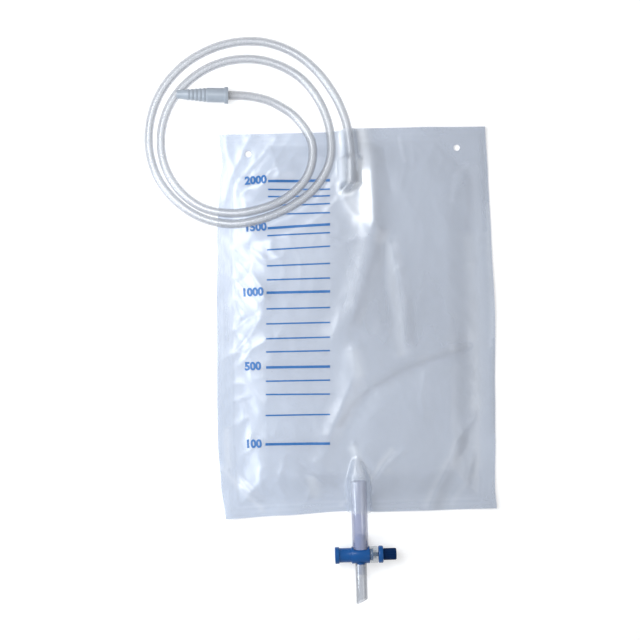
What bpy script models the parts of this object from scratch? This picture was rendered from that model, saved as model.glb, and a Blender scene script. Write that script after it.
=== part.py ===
"""Urine drainage bag, laid flat with its drainage tube looped beside and across it.

Metres, +Z up, +Y towards the inlet. The origin is under the middle of the bag, on the surface it lies on.
"""

import math

import bmesh
import bpy
from mathutils import Vector

# Gaps
GAP = 0.0003  # between pieces that touch on the real bag
SLIDE_CLEARANCE = 0.0001  # between the plunger's sealing lips and the barrel
REST_CLEARANCE = 0.0001  # under the connector's collar

# Films
BAG_WIDTH = 0.202
BAG_LENGTH = 0.2845
FILM = 0.0003
SIDE_WELD = 0.011
END_WELD = 0.009
CORNER_WELD_LEG = 0.047  # the slanted welds that close off the two hanging eyelets
EYELET_DIAMETER = 0.0046
EYELET_SPREAD = 0.1553
EYELET_SHIFT = 0.0008  # their middle lies this far right of the bag's
EYELET_FROM_TOP = 0.0145

# Relief of the front film
FILL_HEIGHT = 0.0062
FILL_RISE = 0.024
PRESSED_HEIGHT = 0.0020  # where the tube lies on the bag
PRESSED_REACH = 0.0045
PRESSED_FADE = 0.014
TENT_CLEARANCE = 0.0009
TENT_SLOPE = 1.6  # fall of the film beside a tented piece, inside the bag
TENT_EDGE_SLOPE = 3.5  # and at the edge of the bag, where the weld pulls it down
TENT_EDGE_FADE = 0.012
TENT_WIDENING = 0.0040  # over this length the tent of the tube grows to that of the sleeve
TENT_WIDE_BEFORE = 0.0015  # and it is at full width this far above the sleeve
INLET_TENT_FALL = 0.030
OUTLET_TENT_FALL = 0.026
FOLD_FADE = 0.010  # how far inside the welds a fold is at its full height
EDGE_STEP = 0.0145
EYELET_SIDES = 20
FILM_STEP_FINE = 0.0023
FILM_STEP_COARSE = 0.0093
FINE_HALF_WIDTH = 0.0132
ROW_STEP_FINE = 0.0042
ROW_STEP_COARSE = 0.0096
TOP_FINE_LENGTH = 0.058
BOTTOM_FINE_LENGTH = 0.044

# Inlet
TUBE_DIAMETER = 0.0068
INLET_X = -0.0005
SLEEVE_DIAMETER = 0.0104
SLEEVE_LENGTH = 0.0155
SLEEVE_FROM_TOP = 0.0234
SLEEVE_LIP = 0.0012
TUBE_LEAN = 0.0019  # how far the tube has swung aside where it leaves the bag
VALVE_WALL = 0.00035
VALVE_ON_SLEEVE = 0.0085
VALVE_LENGTH = 0.0182
VALVE_LIP_WIDTH = 0.0160
VALVE_LIP_OPENING = 0.0009
VALVE_LEAN = 0.0078
VALVE_SECTIONS = 9
VALVE_SIDES = 20
VALVE_END_TUCK = 0.14  # how much narrower the lips end than they start

# Outlet tube and drain spout
OUTLET_X = -0.0024
OUTLET_DIAMETER = 0.0122
OUTLET_WALL = 0.0016
OUTLET_IN_BAG = 0.0250
OUTLET_OUT_OF_BAG = 0.0249
OUTLET_ROUND = 0.0004
SPOUT_DIAMETER = 0.0087
SPOUT_WALL = 0.0011
SPOUT_LENGTH = 0.0293
SPOUT_SLANT = 0.0038

# Tap
SADDLE_DIAMETER = 0.0126
SADDLE_WIDTH = 0.0134
SADDLE_FACE = 0.0042  # from the barrel's axis to the seat of the outlet tube
SADDLE_CHAMFER = 0.0006
TAP_CHAMFER = 0.0004
TOP_NIPPLE_LENGTH = 0.0105
BOTTOM_NIPPLE_LENGTH = 0.0080
FLOW_BORE = 0.0044
BARREL_DIAMETER = 0.0106
BARREL_LEFT = 0.0158
BARREL_BORE = 0.0063
RIM_DIAMETER = 0.0123
RIM_THICKNESS = 0.0032
SPIGOT_DIAMETER = 0.0084
SPIGOT_LENGTH = 0.0024
COLLAR_DIAMETER = 0.0126
COLLAR_LENGTH = 0.0058
COLLAR_END_WALL = 0.0010
COLLAR_ROUND = 0.0005
STROKE = 0.0058
STEM_DIAMETER = 0.0030
STEM_CLEARANCE = 0.0002
WAIST_DIAMETER = 0.0026
WAIST_LENGTH = 0.0052
TAIL_LENGTH = 0.0060
LAND_DIAMETER = 0.0056
LIP_THICKNESS = 0.0009
HEAD_DIAMETER = 0.0126
HEAD_THICKNESS = 0.0035
HEAD_ROUND = 0.0006
KNOB_DIAMETER = 0.0088
KNOB_LENGTH = 0.0094
KNOB_SOCKET = 0.0070
KNOB_RIBS = 14
KNOB_POINTS_PER_RIB = 6
KNOB_RIB_DEPTH = 0.00035
KNOB_END_CHAMFER = 0.0006

# Catheter connector
CONNECTOR_COLLAR_DIAMETER = 0.0124
CONNECTOR_COLLAR_LENGTH = 0.0028
CONNECTOR_CHAMFER = 0.0005
CONNECTOR_BARREL_DIAMETER = 0.0106
CONNECTOR_BARREL_LENGTH = 0.0127
CONNECTOR_RIBBED_LENGTH = 0.0146
CONNECTOR_RIBBED_END = 0.0080
CONNECTOR_RIBS = 5
CONNECTOR_RIB_HEIGHT = 0.00035
CONNECTOR_RIB_SHARE = 0.45  # how much of each step is the rib's own level
CONNECTOR_NOSE_LENGTH = 0.0078
CONNECTOR_TIP_DIAMETER = 0.0060
CONNECTOR_BORE = 0.0040
CONNECTOR_SOCKET_LENGTH = 0.0135
CONNECTOR_SOCKET_CONE = 0.0010
CONNECTOR_PLACE = (-0.0900, 0.1708)
CONNECTOR_TURN = math.radians(178.2)
CONNECTOR_TILT = math.radians(5.4)  # its nose rests on the middle turn of the tube

# Heights and places that follow from the sizes above
WELD_Z = FILM + GAP
SLEEVE_Z = WELD_Z + VALVE_WALL + GAP + SLEEVE_DIAMETER / 2
TUBE_EDGE_Z = WELD_Z + TUBE_DIAMETER / 2
OUTLET_Z = WELD_Z + OUTLET_DIAMETER / 2
SLEEVE_TOP_Y = BAG_LENGTH / 2 - SLEEVE_FROM_TOP
SLEEVE_BOTTOM_Y = SLEEVE_TOP_Y - SLEEVE_LENGTH
OUTLET_TOP_Y = -BAG_LENGTH / 2 + OUTLET_IN_BAG
OUTLET_BOTTOM_Y = -BAG_LENGTH / 2 - OUTLET_OUT_OF_BAG
TAP_Y = OUTLET_BOTTOM_Y - GAP - SADDLE_FACE
TAP_CENTRE = (OUTLET_X, TAP_Y, OUTLET_Z)
CONNECTOR_Z = CONNECTOR_COLLAR_DIAMETER / 2 + REST_CLEARANCE
COLLAR_START = SADDLE_WIDTH / 2 + GAP  # these three are distances from the tap's centre
COLLAR_END = COLLAR_START + COLLAR_LENGTH
KNOB_START = COLLAR_END + GAP + HEAD_THICKNESS + GAP
PAST = 0.002  # how far a cutter runs past the face that it cuts through

# How far each edge of the soft film strays from the cut rectangle, as (place along the edge, offset)
LEFT_DRIFT = ((-0.142, -0.0007), (-0.117, -0.0036), (-0.087, -0.0049), (0.010, -0.0030),
              (0.061, -0.0011), (0.106, 0.0017), (0.121, 0.0046), (0.142, 0.0028))
RIGHT_DRIFT = ((-0.142, -0.0011), (-0.128, -0.0018), (-0.088, -0.0003), (-0.057, 0.0004),
               (0.002, 0.0021), (0.060, 0.0011), (0.106, 0.0001), (0.142, -0.0011))
TOP_DRIFT = ((-0.100, 0.0004), (-0.018, 0.0000), (0.006, 0.0021), (0.050, 0.0016), (0.100, 0.0005))
BOTTOM_DRIFT = ((-0.100, -0.0008), (-0.058, 0.0005), (-0.012, 0.0022), (0.016, 0.0008), (0.100, 0.0010))

# Folds of the front film: the line each one follows, its height (a valley is negative) and its half width
FOLDS = (
    (((0.0150, 0.074), (0.0115, 0.0515), (0.0005, 0.0120), (-0.0150, -0.0100)), 0.0016, 0.0100),
    (((0.0320, 0.056), (0.0365, 0.0220), (0.0410, -0.0240)), 0.0008, 0.0080),
    (((0.0255, 0.056), (0.0285, 0.0240), (0.0325, -0.0200)), -0.0009, 0.0072),
    (((0.083, -0.017), (0.047, -0.033), (0.011, -0.049), (-0.009, -0.077)), -0.0014, 0.0075),
    (((-0.002, -0.021), (-0.010, -0.058), (-0.024, -0.088), (-0.030, -0.110)), 0.0012, 0.0080),
    (((0.077, -0.094), (0.055, -0.130)), -0.0016, 0.0075),
    (((0.090, -0.090), (0.070, -0.130)), 0.0010, 0.0070),
    (((-0.094, -0.111), (-0.070, -0.135)), 0.0013, 0.0065),
    (((-0.061, 0.134), (-0.080, 0.114), (-0.090, 0.090)), 0.0014, 0.0065),
    (((-0.048, 0.136), (-0.070, 0.104)), 0.0010, 0.0065),
    (((0.0142, 0.139), (0.0145, 0.100), (0.0152, 0.070)), 0.0024, 0.0082),
    (((0.066, 0.136), (0.086, 0.110), (0.090, 0.088)), 0.0010, 0.0070),
    (((-0.086, 0.055), (-0.070, 0.020), (-0.078, -0.020)), 0.0010, 0.0080),
    (((0.003, -0.098), (0.019, -0.116)), 0.0010, 0.0060),
)

# Where the drainage tube runs, from inside the inlet sleeve to inside the connector
TUBE_ROUTE = (
    (-0.0005, 0.1050, 0.00645),
    (-0.0005, 0.1120, 0.00645),
    (-0.0005, 0.1190, 0.00643),
    (-0.0011, 0.1330, 0.00490),
    (-0.0025, 0.1440, 0.00385),
    (-0.0049, 0.1540, 0.00360),
    (-0.0114, 0.1692, 0.00350),
    (-0.0243, 0.1877, 0.00350),
    (-0.0416, 0.2020, 0.00350),
    (-0.0626, 0.2099, 0.00350),
    (-0.0851, 0.2103, 0.00350),
    (-0.1067, 0.2041, 0.00350),
    (-0.1257, 0.1922, 0.00350),
    (-0.1403, 0.1750, 0.00350),
    (-0.1485, 0.1542, 0.00350),
    (-0.1498, 0.1317, 0.00350),
    (-0.1434, 0.1103, 0.00350),
    (-0.1296, 0.0925, 0.00365),
    (-0.1109, 0.0803, 0.00460),
    (-0.0889, 0.0757, 0.00580),
    (-0.0666, 0.0790, 0.00670),
    (-0.0457, 0.0874, 0.00680),
    (-0.0277, 0.1006, 0.00680),
    (-0.0163, 0.1199, 0.00670),
    (-0.0156, 0.1423, 0.00490),
    (-0.0223, 0.1638, 0.00355),
    (-0.0354, 0.1819, 0.00350),
    (-0.0546, 0.1936, 0.00350),
    (-0.0766, 0.1979, 0.00350),
    (-0.0988, 0.1944, 0.00350),
    (-0.1183, 0.1835, 0.00350),
    (-0.1331, 0.1666, 0.00350),
    (-0.1406, 0.1454, 0.00350),
    (-0.1395, 0.1229, 0.00350),
    (-0.1294, 0.1030, 0.00370),
    (-0.1121, 0.0887, 0.00470),
    (-0.0905, 0.0836, 0.00590),
    (-0.0680, 0.0863, 0.00670),
    (-0.0474, 0.0949, 0.00680),
    (-0.0323, 0.1113, 0.00680),
    (-0.0291, 0.1332, 0.00580),
    (-0.0400, 0.1526, 0.00400),
    (-0.0555, 0.1640, 0.00370),
    (-0.0680, 0.1686, 0.00430),
    (-0.0790, 0.1703, 0.00527),
    (-0.0890, 0.17077, 0.00621),
    (-0.1024, 0.17119, 0.00748),
)
TUBE_POINTS = 78
TUBE_CURVE_STEPS = 16
CROSSING_Y = 0.145  # the tube lies on the bag only below this Y
CROSSING_X = -0.0105  # and only to the left of this X, since its first stretch rises from the inlet

WHITE_FILM = (0.60, 0.66, 0.74)
CLEAR_FILM = (0.70, 0.76, 0.84)
CLEAR_PVC = (0.72, 0.76, 0.82)
LILAC_PVC = (0.46, 0.50, 0.72)
MID_BLUE = (0.00, 0.10, 0.38)
NAVY = (0.01, 0.02, 0.11)
STEEL_BLUE = (0.42, 0.50, 0.59)
CLEAR_COLLAR = (0.35, 0.40, 0.48)


def clear_scene():
    for thing in list(bpy.data.objects):
        bpy.data.objects.remove(thing, do_unlink=True)


def new_collection(name):
    made = bpy.data.collections.new(name)
    bpy.context.scene.collection.children.link(made)
    return made


def material(name, color, roughness, alpha=1.0):
    made = bpy.data.materials.get(name)
    if made:
        return made
    made = bpy.data.materials.new(name)
    made.use_nodes = True
    shader = made.node_tree.nodes["Principled BSDF"]
    shader.inputs["Base Color"].default_value = (*color, 1.0)
    shader.inputs["Roughness"].default_value = roughness
    shader.inputs["Metallic"].default_value = 0.0
    shader.inputs["Alpha"].default_value = alpha
    return made


def add(name, data, surface, collection):
    made = bpy.data.objects.new(name, data)
    if surface:
        data.materials.append(surface)
    collection.objects.link(made)
    return made


def as_cutter(thing):
    thing.hide_render = True
    thing.display_type = "WIRE"
    return thing


def cut(thing, other, operation="DIFFERENCE"):
    modifier = thing.modifiers.new(other.name, "BOOLEAN")
    modifier.operation = operation
    modifier.solver = "EXACT"
    modifier.object = other


def drift(pairs, at):
    """The offset at a place along an edge, eased from one given pair to the next."""
    if at <= pairs[0][0]:
        return pairs[0][1]
    for (start, low), (end, high) in zip(pairs, pairs[1:]):
        if at <= end:
            return low + (high - low) * eased((at - start) / (end - start))
    return pairs[-1][1]


def eased(share):
    share = min(max(share, 0.0), 1.0)
    return share * share * (3 - 2 * share)


def laid(x, y):
    """Where a point of the cut rectangle comes to lie."""
    side = LEFT_DRIFT if x < 0 else RIGHT_DRIFT
    end = BOTTOM_DRIFT if y < 0 else TOP_DRIFT
    across = drift(side, y) * (abs(x) / (BAG_WIDTH / 2)) ** 2
    along = drift(end, x) * (abs(y) / (BAG_LENGTH / 2)) ** 6
    return x + across, y + along


def distance_to(points, x, y):
    """How far a place is from a line through the points, as seen from above."""
    here = Vector((x, y))
    nearest = math.inf
    for start, end in zip(points, points[1:]):
        start = Vector(start[:2])
        run = Vector(end[:2]) - start
        share = min(max((here - start).dot(run) / run.length_squared, 0.0), 1.0)
        nearest = min(nearest, (here - start - run * share).length)
    return nearest


def inside_welds(x, y):
    """How far a place is inside the welds that close the bag, negative on them."""
    side = BAG_WIDTH / 2 - SIDE_WELD - abs(x)
    end = BAG_LENGTH / 2 - END_WELD - abs(y)
    corner_sum = BAG_WIDTH / 2 + BAG_LENGTH / 2 - CORNER_WELD_LEG
    corner = (corner_sum - abs(x) - y) / math.sqrt(2)
    return min(side, end, corner)


def tent(across, axis_z, radius, slope):
    """The height of film drawn over a round piece: it follows the round, then falls straight at the slope."""
    leaving = radius * slope / math.hypot(1, slope)
    if across < leaving:
        return axis_z + math.sqrt(radius ** 2 - across ** 2)
    return axis_z + math.sqrt(radius ** 2 - leaving ** 2) - slope * (across - leaving)


def flattened(y):
    """How far the non-return valve has gone over from round to flat at a place along it."""
    return eased((SLEEVE_BOTTOM_Y - y) / (VALVE_LENGTH - VALVE_ON_SLEEVE))


def tent_slope(y):
    inside = BAG_LENGTH / 2 - END_WELD - abs(y)
    return TENT_EDGE_SLOPE + (TENT_SLOPE - TENT_EDGE_SLOPE) * eased(inside / TENT_EDGE_FADE)


def inlet_tent(x, y):
    """The film over the drainage tube, its sleeve and the valve. It leans as they do."""
    widening = eased((SLEEVE_TOP_Y + TENT_WIDE_BEFORE + TENT_WIDENING - y) / TENT_WIDENING)
    from_sleeve = min(max((y - SLEEVE_TOP_Y) / SLEEVE_FROM_TOP, 0.0), 1.0)
    axis_x = INLET_X - TUBE_LEAN * from_sleeve ** 2 - VALVE_LEAN * flattened(y)
    axis_z = SLEEVE_Z + (TUBE_EDGE_Z - SLEEVE_Z) * from_sleeve
    narrow = TUBE_DIAMETER / 2 + TENT_CLEARANCE
    wide = SLEEVE_DIAMETER / 2 + GAP + VALVE_WALL + TENT_CLEARANCE
    radius = narrow + (wide - narrow) * widening
    fall = eased((SLEEVE_BOTTOM_Y - y) / INLET_TENT_FALL)
    return tent(abs(x - axis_x), axis_z, radius, tent_slope(y)) - fall * (axis_z + radius)


def outlet_tent(x, y):
    radius = OUTLET_DIAMETER / 2 + TENT_CLEARANCE
    fall = eased((y - OUTLET_TOP_Y) / OUTLET_TENT_FALL)
    return tent(abs(x - OUTLET_X), OUTLET_Z, radius, tent_slope(y)) - fall * (OUTLET_Z + radius)


def film_height(x, y, resting):
    """The front film's underside. resting holds the stretches of the tube that lie on it."""
    inside = inside_welds(x, y)
    height = WELD_Z
    if inside > 0:
        fill = FILL_HEIGHT * eased(inside / FILL_RISE)
        for line, rise, half_width in FOLDS:
            fold = rise * math.exp(-((distance_to(line, x, y) / half_width) ** 2))
            fill += fold * eased(inside / FOLD_FADE)
        nearest = min(distance_to(stretch, x, y) for stretch in resting)
        pressed = 1 - eased((nearest - PRESSED_REACH) / PRESSED_FADE)
        fill += (min(PRESSED_HEIGHT * eased(inside / FOLD_FADE), fill) - fill) * pressed
        height += max(fill, 0.0)
    return max(height, inlet_tent(x, y), outlet_tent(x, y))


def smooth_line(points, count):
    """Evenly spaced points on a smooth curve through the given ones (Catmull-Rom)."""
    points = [Vector(p) for p in points]
    ends = [points[0] * 2 - points[1], *points, points[-1] * 2 - points[-2]]
    fine = []
    for before, start, end, after in zip(ends, ends[1:], ends[2:], ends[3:]):
        for step in range(TUBE_CURVE_STEPS):
            t = step / TUBE_CURVE_STEPS
            fine.append(0.5 * (2 * start + (end - before) * t
                               + (2 * before - 5 * start + 4 * end - after) * t ** 2
                               + (3 * start - before - 3 * end + after) * t ** 3))
    fine.append(points[-1])
    reached = [0.0]
    for start, end in zip(fine, fine[1:]):
        reached.append(reached[-1] + (end - start).length)
    line = []
    span = 0
    for i in range(count):
        target = reached[-1] * i / (count - 1)
        while span < len(fine) - 2 and reached[span + 1] < target:
            span += 1
        share = (target - reached[span]) / (reached[span + 1] - reached[span])
        line.append(fine[span].lerp(fine[span + 1], share))
    return line


def spaced(low, high, step):
    count = max(round((high - low) / step), 1)
    return [low + (high - low) * i / count for i in range(count + 1)]


def film_columns():
    middle = (INLET_X + OUTLET_X) / 2
    left = middle - FINE_HALF_WIDTH
    right = middle + FINE_HALF_WIDTH
    return [*spaced(-BAG_WIDTH / 2, left, FILM_STEP_COARSE)[:-1], *spaced(left, right, FILM_STEP_FINE),
            *spaced(right, BAG_WIDTH / 2, FILM_STEP_COARSE)[1:]]


def film_rows():
    low = -BAG_LENGTH / 2 + BOTTOM_FINE_LENGTH
    high = BAG_LENGTH / 2 - TOP_FINE_LENGTH
    return [*spaced(-BAG_LENGTH / 2, low, ROW_STEP_FINE)[:-1], *spaced(low, high, ROW_STEP_COARSE),
            *spaced(high, BAG_LENGTH / 2, ROW_STEP_FINE)[1:]]


def eyelet_places():
    return [(EYELET_SHIFT + side * EYELET_SPREAD / 2, BAG_LENGTH / 2 - EYELET_FROM_TOP) for side in (-1, 1)]


def back_film(parts):
    """The flat white sheet, its outline and its two punched eyelets in one plane."""
    curve = bpy.data.curves.new("back_film", "CURVE")
    curve.dimensions = "2D"
    curve.fill_mode = "BOTH"
    curve.extrude = FILM / 2
    columns = spaced(-BAG_WIDTH / 2, BAG_WIDTH / 2, EDGE_STEP)
    rows = spaced(-BAG_LENGTH / 2, BAG_LENGTH / 2, EDGE_STEP)
    edge = [(x, -BAG_LENGTH / 2) for x in columns[:-1]]
    edge += [(BAG_WIDTH / 2, y) for y in rows[:-1]]
    edge += [(x, BAG_LENGTH / 2) for x in reversed(columns[1:])]
    edge += [(-BAG_WIDTH / 2, y) for y in reversed(rows[1:])]
    loops = [[laid(x, y) for x, y in edge]]
    radius = EYELET_DIAMETER / 2
    for x, y in eyelet_places():
        turn = [math.tau * i / EYELET_SIDES for i in range(EYELET_SIDES)]
        loops.append([(x + radius * math.cos(a), y + radius * math.sin(a)) for a in turn])
    for loop in loops:
        spline = curve.splines.new("POLY")
        spline.points.add(len(loop) - 1)
        for point, (x, y) in zip(spline.points, loop):
            point.co = (x, y, 0, 1)
        spline.use_cyclic_u = True
    made = add("back_film", curve, material("white_film", WHITE_FILM, 0.35), parts)
    made.location.z = FILM / 2
    return made


def front_film(parts, cutters, tube_line):
    """The clear sheet: one grid raised over the fill, the folds, the inlet and the outlet, then thickened."""
    columns = film_columns()
    rows = film_rows()
    resting = [(start, end) for start, end in zip(tube_line, tube_line[1:])
               if start.y < CROSSING_Y and -BAG_WIDTH / 2 < start.x < CROSSING_X]
    grid = bmesh.new()
    bmesh.ops.create_grid(grid, x_segments=len(columns) - 1, y_segments=len(rows) - 1, size=1)
    for vertex in grid.verts:
        x = columns[round((vertex.co.x + 1) / 2 * (len(columns) - 1))]
        y = rows[round((vertex.co.y + 1) / 2 * (len(rows) - 1))]
        vertex.co = (*laid(x, y), film_height(x, y, resting))
    mesh = bpy.data.meshes.new("front_film")
    grid.to_mesh(mesh)
    grid.free()
    mesh.shade_smooth()
    made = add("front_film", mesh, material("clear_film", CLEAR_FILM, 0.15, 0.4), parts)
    thickness = made.modifiers.new("film thickness", "SOLIDIFY")
    thickness.thickness = FILM
    thickness.offset = 1
    thickness.use_even_offset = True
    for index, (x, y) in enumerate(eyelet_places()):
        punch = bmesh.new()
        bmesh.ops.create_cone(punch, cap_ends=True, segments=EYELET_SIDES, radius1=EYELET_DIAMETER / 2,
                              radius2=EYELET_DIAMETER / 2, depth=2 * PAST)
        data = bpy.data.meshes.new(f"eyelet_punch_{index}")
        punch.to_mesh(data)
        punch.free()
        cutter = as_cutter(add(f"eyelet_punch_{index}", data, None, cutters))
        cutter.location = (x, y, WELD_Z)
        cut(made, cutter)
    return made


def turned(name, profile, axis, place, surface, collection, steps=24):
    """A piece turned about an axis from (radius, height) pairs, down the outside and up the inside."""
    edges = [(i, i + 1) for i in range(len(profile) - 1)]
    if profile[0][0] or profile[-1][0]:
        edges.append((len(profile) - 1, 0))
    mesh = bpy.data.meshes.new(name)
    mesh.from_pydata([(radius, 0, height) for radius, height in profile], edges, [])
    made = add(name, mesh, surface, collection)
    screw = made.modifiers.new("turn", "SCREW")
    screw.axis = "Z"
    screw.steps = steps
    screw.render_steps = steps
    screw.use_merge_vertices = True
    screw.merge_threshold = 0.00001
    made.location = place
    made.rotation_euler = {"X": (0, math.pi / 2, 0), "Y": (-math.pi / 2, 0, 0), "Z": (0, 0, 0)}[axis]
    return made


def ring_profile(outer, inner, low, high, rounding=0.0):
    """A plain ring or tube, with its outer corners cut back by the rounding."""
    if not rounding:
        return [(outer, high), (outer, low), (inner, low), (inner, high)]
    corner = rounding * (1 - math.sqrt(0.5))
    return [(outer - rounding, high), (outer - corner, high - corner), (outer, high - rounding),
            (outer, low + rounding), (outer - corner, low + corner), (outer - rounding, low),
            (inner, low), (inner, high)]


def inlet_sleeve(parts):
    """A soft sleeve bonded round the end of the drainage tube, its lower lip rounded over."""
    outer = SLEEVE_DIAMETER / 2
    inner = TUBE_DIAMETER / 2 + GAP
    middle = (outer + inner) / 2
    lip = [(outer, SLEEVE_BOTTOM_Y + SLEEVE_LIP)]
    lip += [(middle + (outer - middle) * math.cos(a), SLEEVE_BOTTOM_Y + SLEEVE_LIP * (1 - math.sin(a)))
            for a in (math.pi / 6, math.pi / 3, math.pi / 2, 2 * math.pi / 3, 5 * math.pi / 6)]
    profile = [(outer, SLEEVE_TOP_Y), *lip, (inner, SLEEVE_BOTTOM_Y + SLEEVE_LIP), (inner, SLEEVE_TOP_Y)]
    surface = material("clear_pvc", CLEAR_PVC, 0.25, 0.55)
    return turned("inlet_sleeve", profile, "Y", (INLET_X, 0, SLEEVE_Z), surface, parts)


def non_return_valve(parts):
    """A short film tube that is round on the sleeve and flattens to a pair of lips."""
    round_radius = SLEEVE_DIAMETER / 2 + GAP
    lips_z = WELD_Z + VALVE_WALL + VALVE_LIP_OPENING / 2
    mesh = bmesh.new()
    rings = []
    for i in range(VALVE_SECTIONS + 1):
        y = SLEEVE_BOTTOM_Y + VALVE_ON_SLEEVE - VALVE_LENGTH * i / VALVE_SECTIONS
        flat = flattened(y)
        tuck = VALVE_END_TUCK if i == VALVE_SECTIONS else 0
        half_width = (round_radius + (VALVE_LIP_WIDTH / 2 - round_radius) * flat) * (1 - tuck)
        half_height = round_radius + (VALVE_LIP_OPENING / 2 - round_radius) * flat
        x = INLET_X - VALVE_LEAN * flat
        z = SLEEVE_Z + (lips_z - SLEEVE_Z) * flat
        turn = [math.tau * k / VALVE_SIDES for k in range(VALVE_SIDES)]
        rings.append([mesh.verts.new((x + half_width * math.cos(a), y, z + half_height * math.sin(a)))
                      for a in turn])
    for upper, lower in zip(rings, rings[1:]):
        for k in range(VALVE_SIDES):
            after = (k + 1) % VALVE_SIDES
            mesh.faces.new((upper[k], upper[after], lower[after], lower[k]))
    data = bpy.data.meshes.new("non_return_valve")
    mesh.to_mesh(data)
    mesh.free()
    data.shade_smooth()
    made = add("non_return_valve", data, material("clear_film", CLEAR_FILM, 0.15, 0.4), parts)
    thickness = made.modifiers.new("valve wall", "SOLIDIFY")
    thickness.thickness = VALVE_WALL
    thickness.offset = 1
    return made


def inlet_tube(parts, line):
    curve = bpy.data.curves.new("inlet_tube", "CURVE")
    curve.dimensions = "3D"
    curve.bevel_depth = TUBE_DIAMETER / 2
    curve.bevel_resolution = 3
    curve.use_fill_caps = True
    spline = curve.splines.new("POLY")
    spline.points.add(len(line) - 1)
    for point, place in zip(spline.points, line):
        point.co = (*place, 1)
    return add("inlet_tube", curve, material("clear_pvc", CLEAR_PVC, 0.25, 0.55), parts)


def connector_ribs():
    """The outside of the ribbed length, as (radius, distance from the back)."""
    start = CONNECTOR_COLLAR_LENGTH + CONNECTOR_BARREL_LENGTH
    wide = CONNECTOR_BARREL_DIAMETER / 2
    narrow = CONNECTOR_RIBBED_END / 2
    points = []
    for i in range(CONNECTOR_RIBS):
        share = (i + CONNECTOR_RIB_SHARE) / CONNECTOR_RIBS
        next_share = (i + 1) / CONNECTOR_RIBS
        next_radius = wide + (narrow - wide) * next_share
        points.append((wide + (narrow - wide) * share, start + CONNECTOR_RIBBED_LENGTH * share))
        points.append((next_radius, start + CONNECTOR_RIBBED_LENGTH * next_share))
        if i < CONNECTOR_RIBS - 1:
            points.append((next_radius + CONNECTOR_RIB_HEIGHT, start + CONNECTOR_RIBBED_LENGTH * next_share))
    return points


def catheter_connector(parts):
    """Collar, barrel, ribs and tapered nose in one moulding, bored to take the tube at the back."""
    barrel_end = CONNECTOR_COLLAR_LENGTH + CONNECTOR_BARREL_LENGTH
    length = barrel_end + CONNECTOR_RIBBED_LENGTH + CONNECTOR_NOSE_LENGTH
    collar = CONNECTOR_COLLAR_DIAMETER / 2
    barrel = CONNECTOR_BARREL_DIAMETER / 2
    tip = CONNECTOR_TIP_DIAMETER / 2
    socket = TUBE_DIAMETER / 2 + GAP
    chamfer = CONNECTOR_CHAMFER
    outside = [(collar - chamfer, 0), (collar, chamfer), (collar, CONNECTOR_COLLAR_LENGTH - chamfer),
               (collar - chamfer, CONNECTOR_COLLAR_LENGTH), (barrel, CONNECTOR_COLLAR_LENGTH),
               (barrel, barrel_end), *connector_ribs(), (tip, length - chamfer), (tip - chamfer / 2, length)]
    inside = [(CONNECTOR_BORE / 2, length),
              (CONNECTOR_BORE / 2, CONNECTOR_SOCKET_LENGTH + CONNECTOR_SOCKET_CONE),
              (socket, CONNECTOR_SOCKET_LENGTH), (socket, 0)]
    profile = [(radius, -along) for radius, along in outside + inside]
    surface = material("steel_blue_pvc", STEEL_BLUE, 0.35, 0.9)
    made = turned("catheter_connector", profile, "Z", (*CONNECTOR_PLACE, CONNECTOR_Z), surface, parts)
    made.rotation_euler = (0, -math.pi / 2 - CONNECTOR_TILT, CONNECTOR_TURN)
    return made


def outlet_tube(parts):
    outer = OUTLET_DIAMETER / 2
    profile = ring_profile(outer, outer - OUTLET_WALL, OUTLET_BOTTOM_Y, OUTLET_TOP_Y, OUTLET_ROUND)
    surface = material("lilac_pvc", LILAC_PVC, 0.25, 0.6)
    return turned("outlet_tube", profile, "Y", (OUTLET_X, 0, OUTLET_Z), surface, parts)


def drain_spout(parts, cutters):
    """A short clear tube on the lower nipple, its free end cut on the slant."""
    top = TAP_Y - SADDLE_DIAMETER / 2 - GAP
    bottom = top - SPOUT_LENGTH
    outer = SPOUT_DIAMETER / 2
    profile = ring_profile(outer, outer - SPOUT_WALL, bottom, top)
    made = turned("drain_spout", profile, "Y", (OUTLET_X, 0, OUTLET_Z),
                  material("spout_pvc", CLEAR_PVC, 0.25, 0.6), parts)
    slant = math.atan2(SPOUT_SLANT, SPOUT_DIAMETER)
    block = bmesh.new()
    bmesh.ops.create_cube(block, size=4 * SPOUT_DIAMETER)
    data = bpy.data.meshes.new("spout_slant_cut")
    block.to_mesh(data)
    block.free()
    cutter = as_cutter(add("spout_slant_cut", data, None, cutters))
    cutter.rotation_euler.z = slant
    middle = Vector((OUTLET_X, bottom + SPOUT_SLANT / 2, OUTLET_Z))
    cutter.location = middle - Vector((-math.sin(slant), math.cos(slant), 0)) * 2 * SPOUT_DIAMETER
    cut(made, cutter)
    return made


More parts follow.
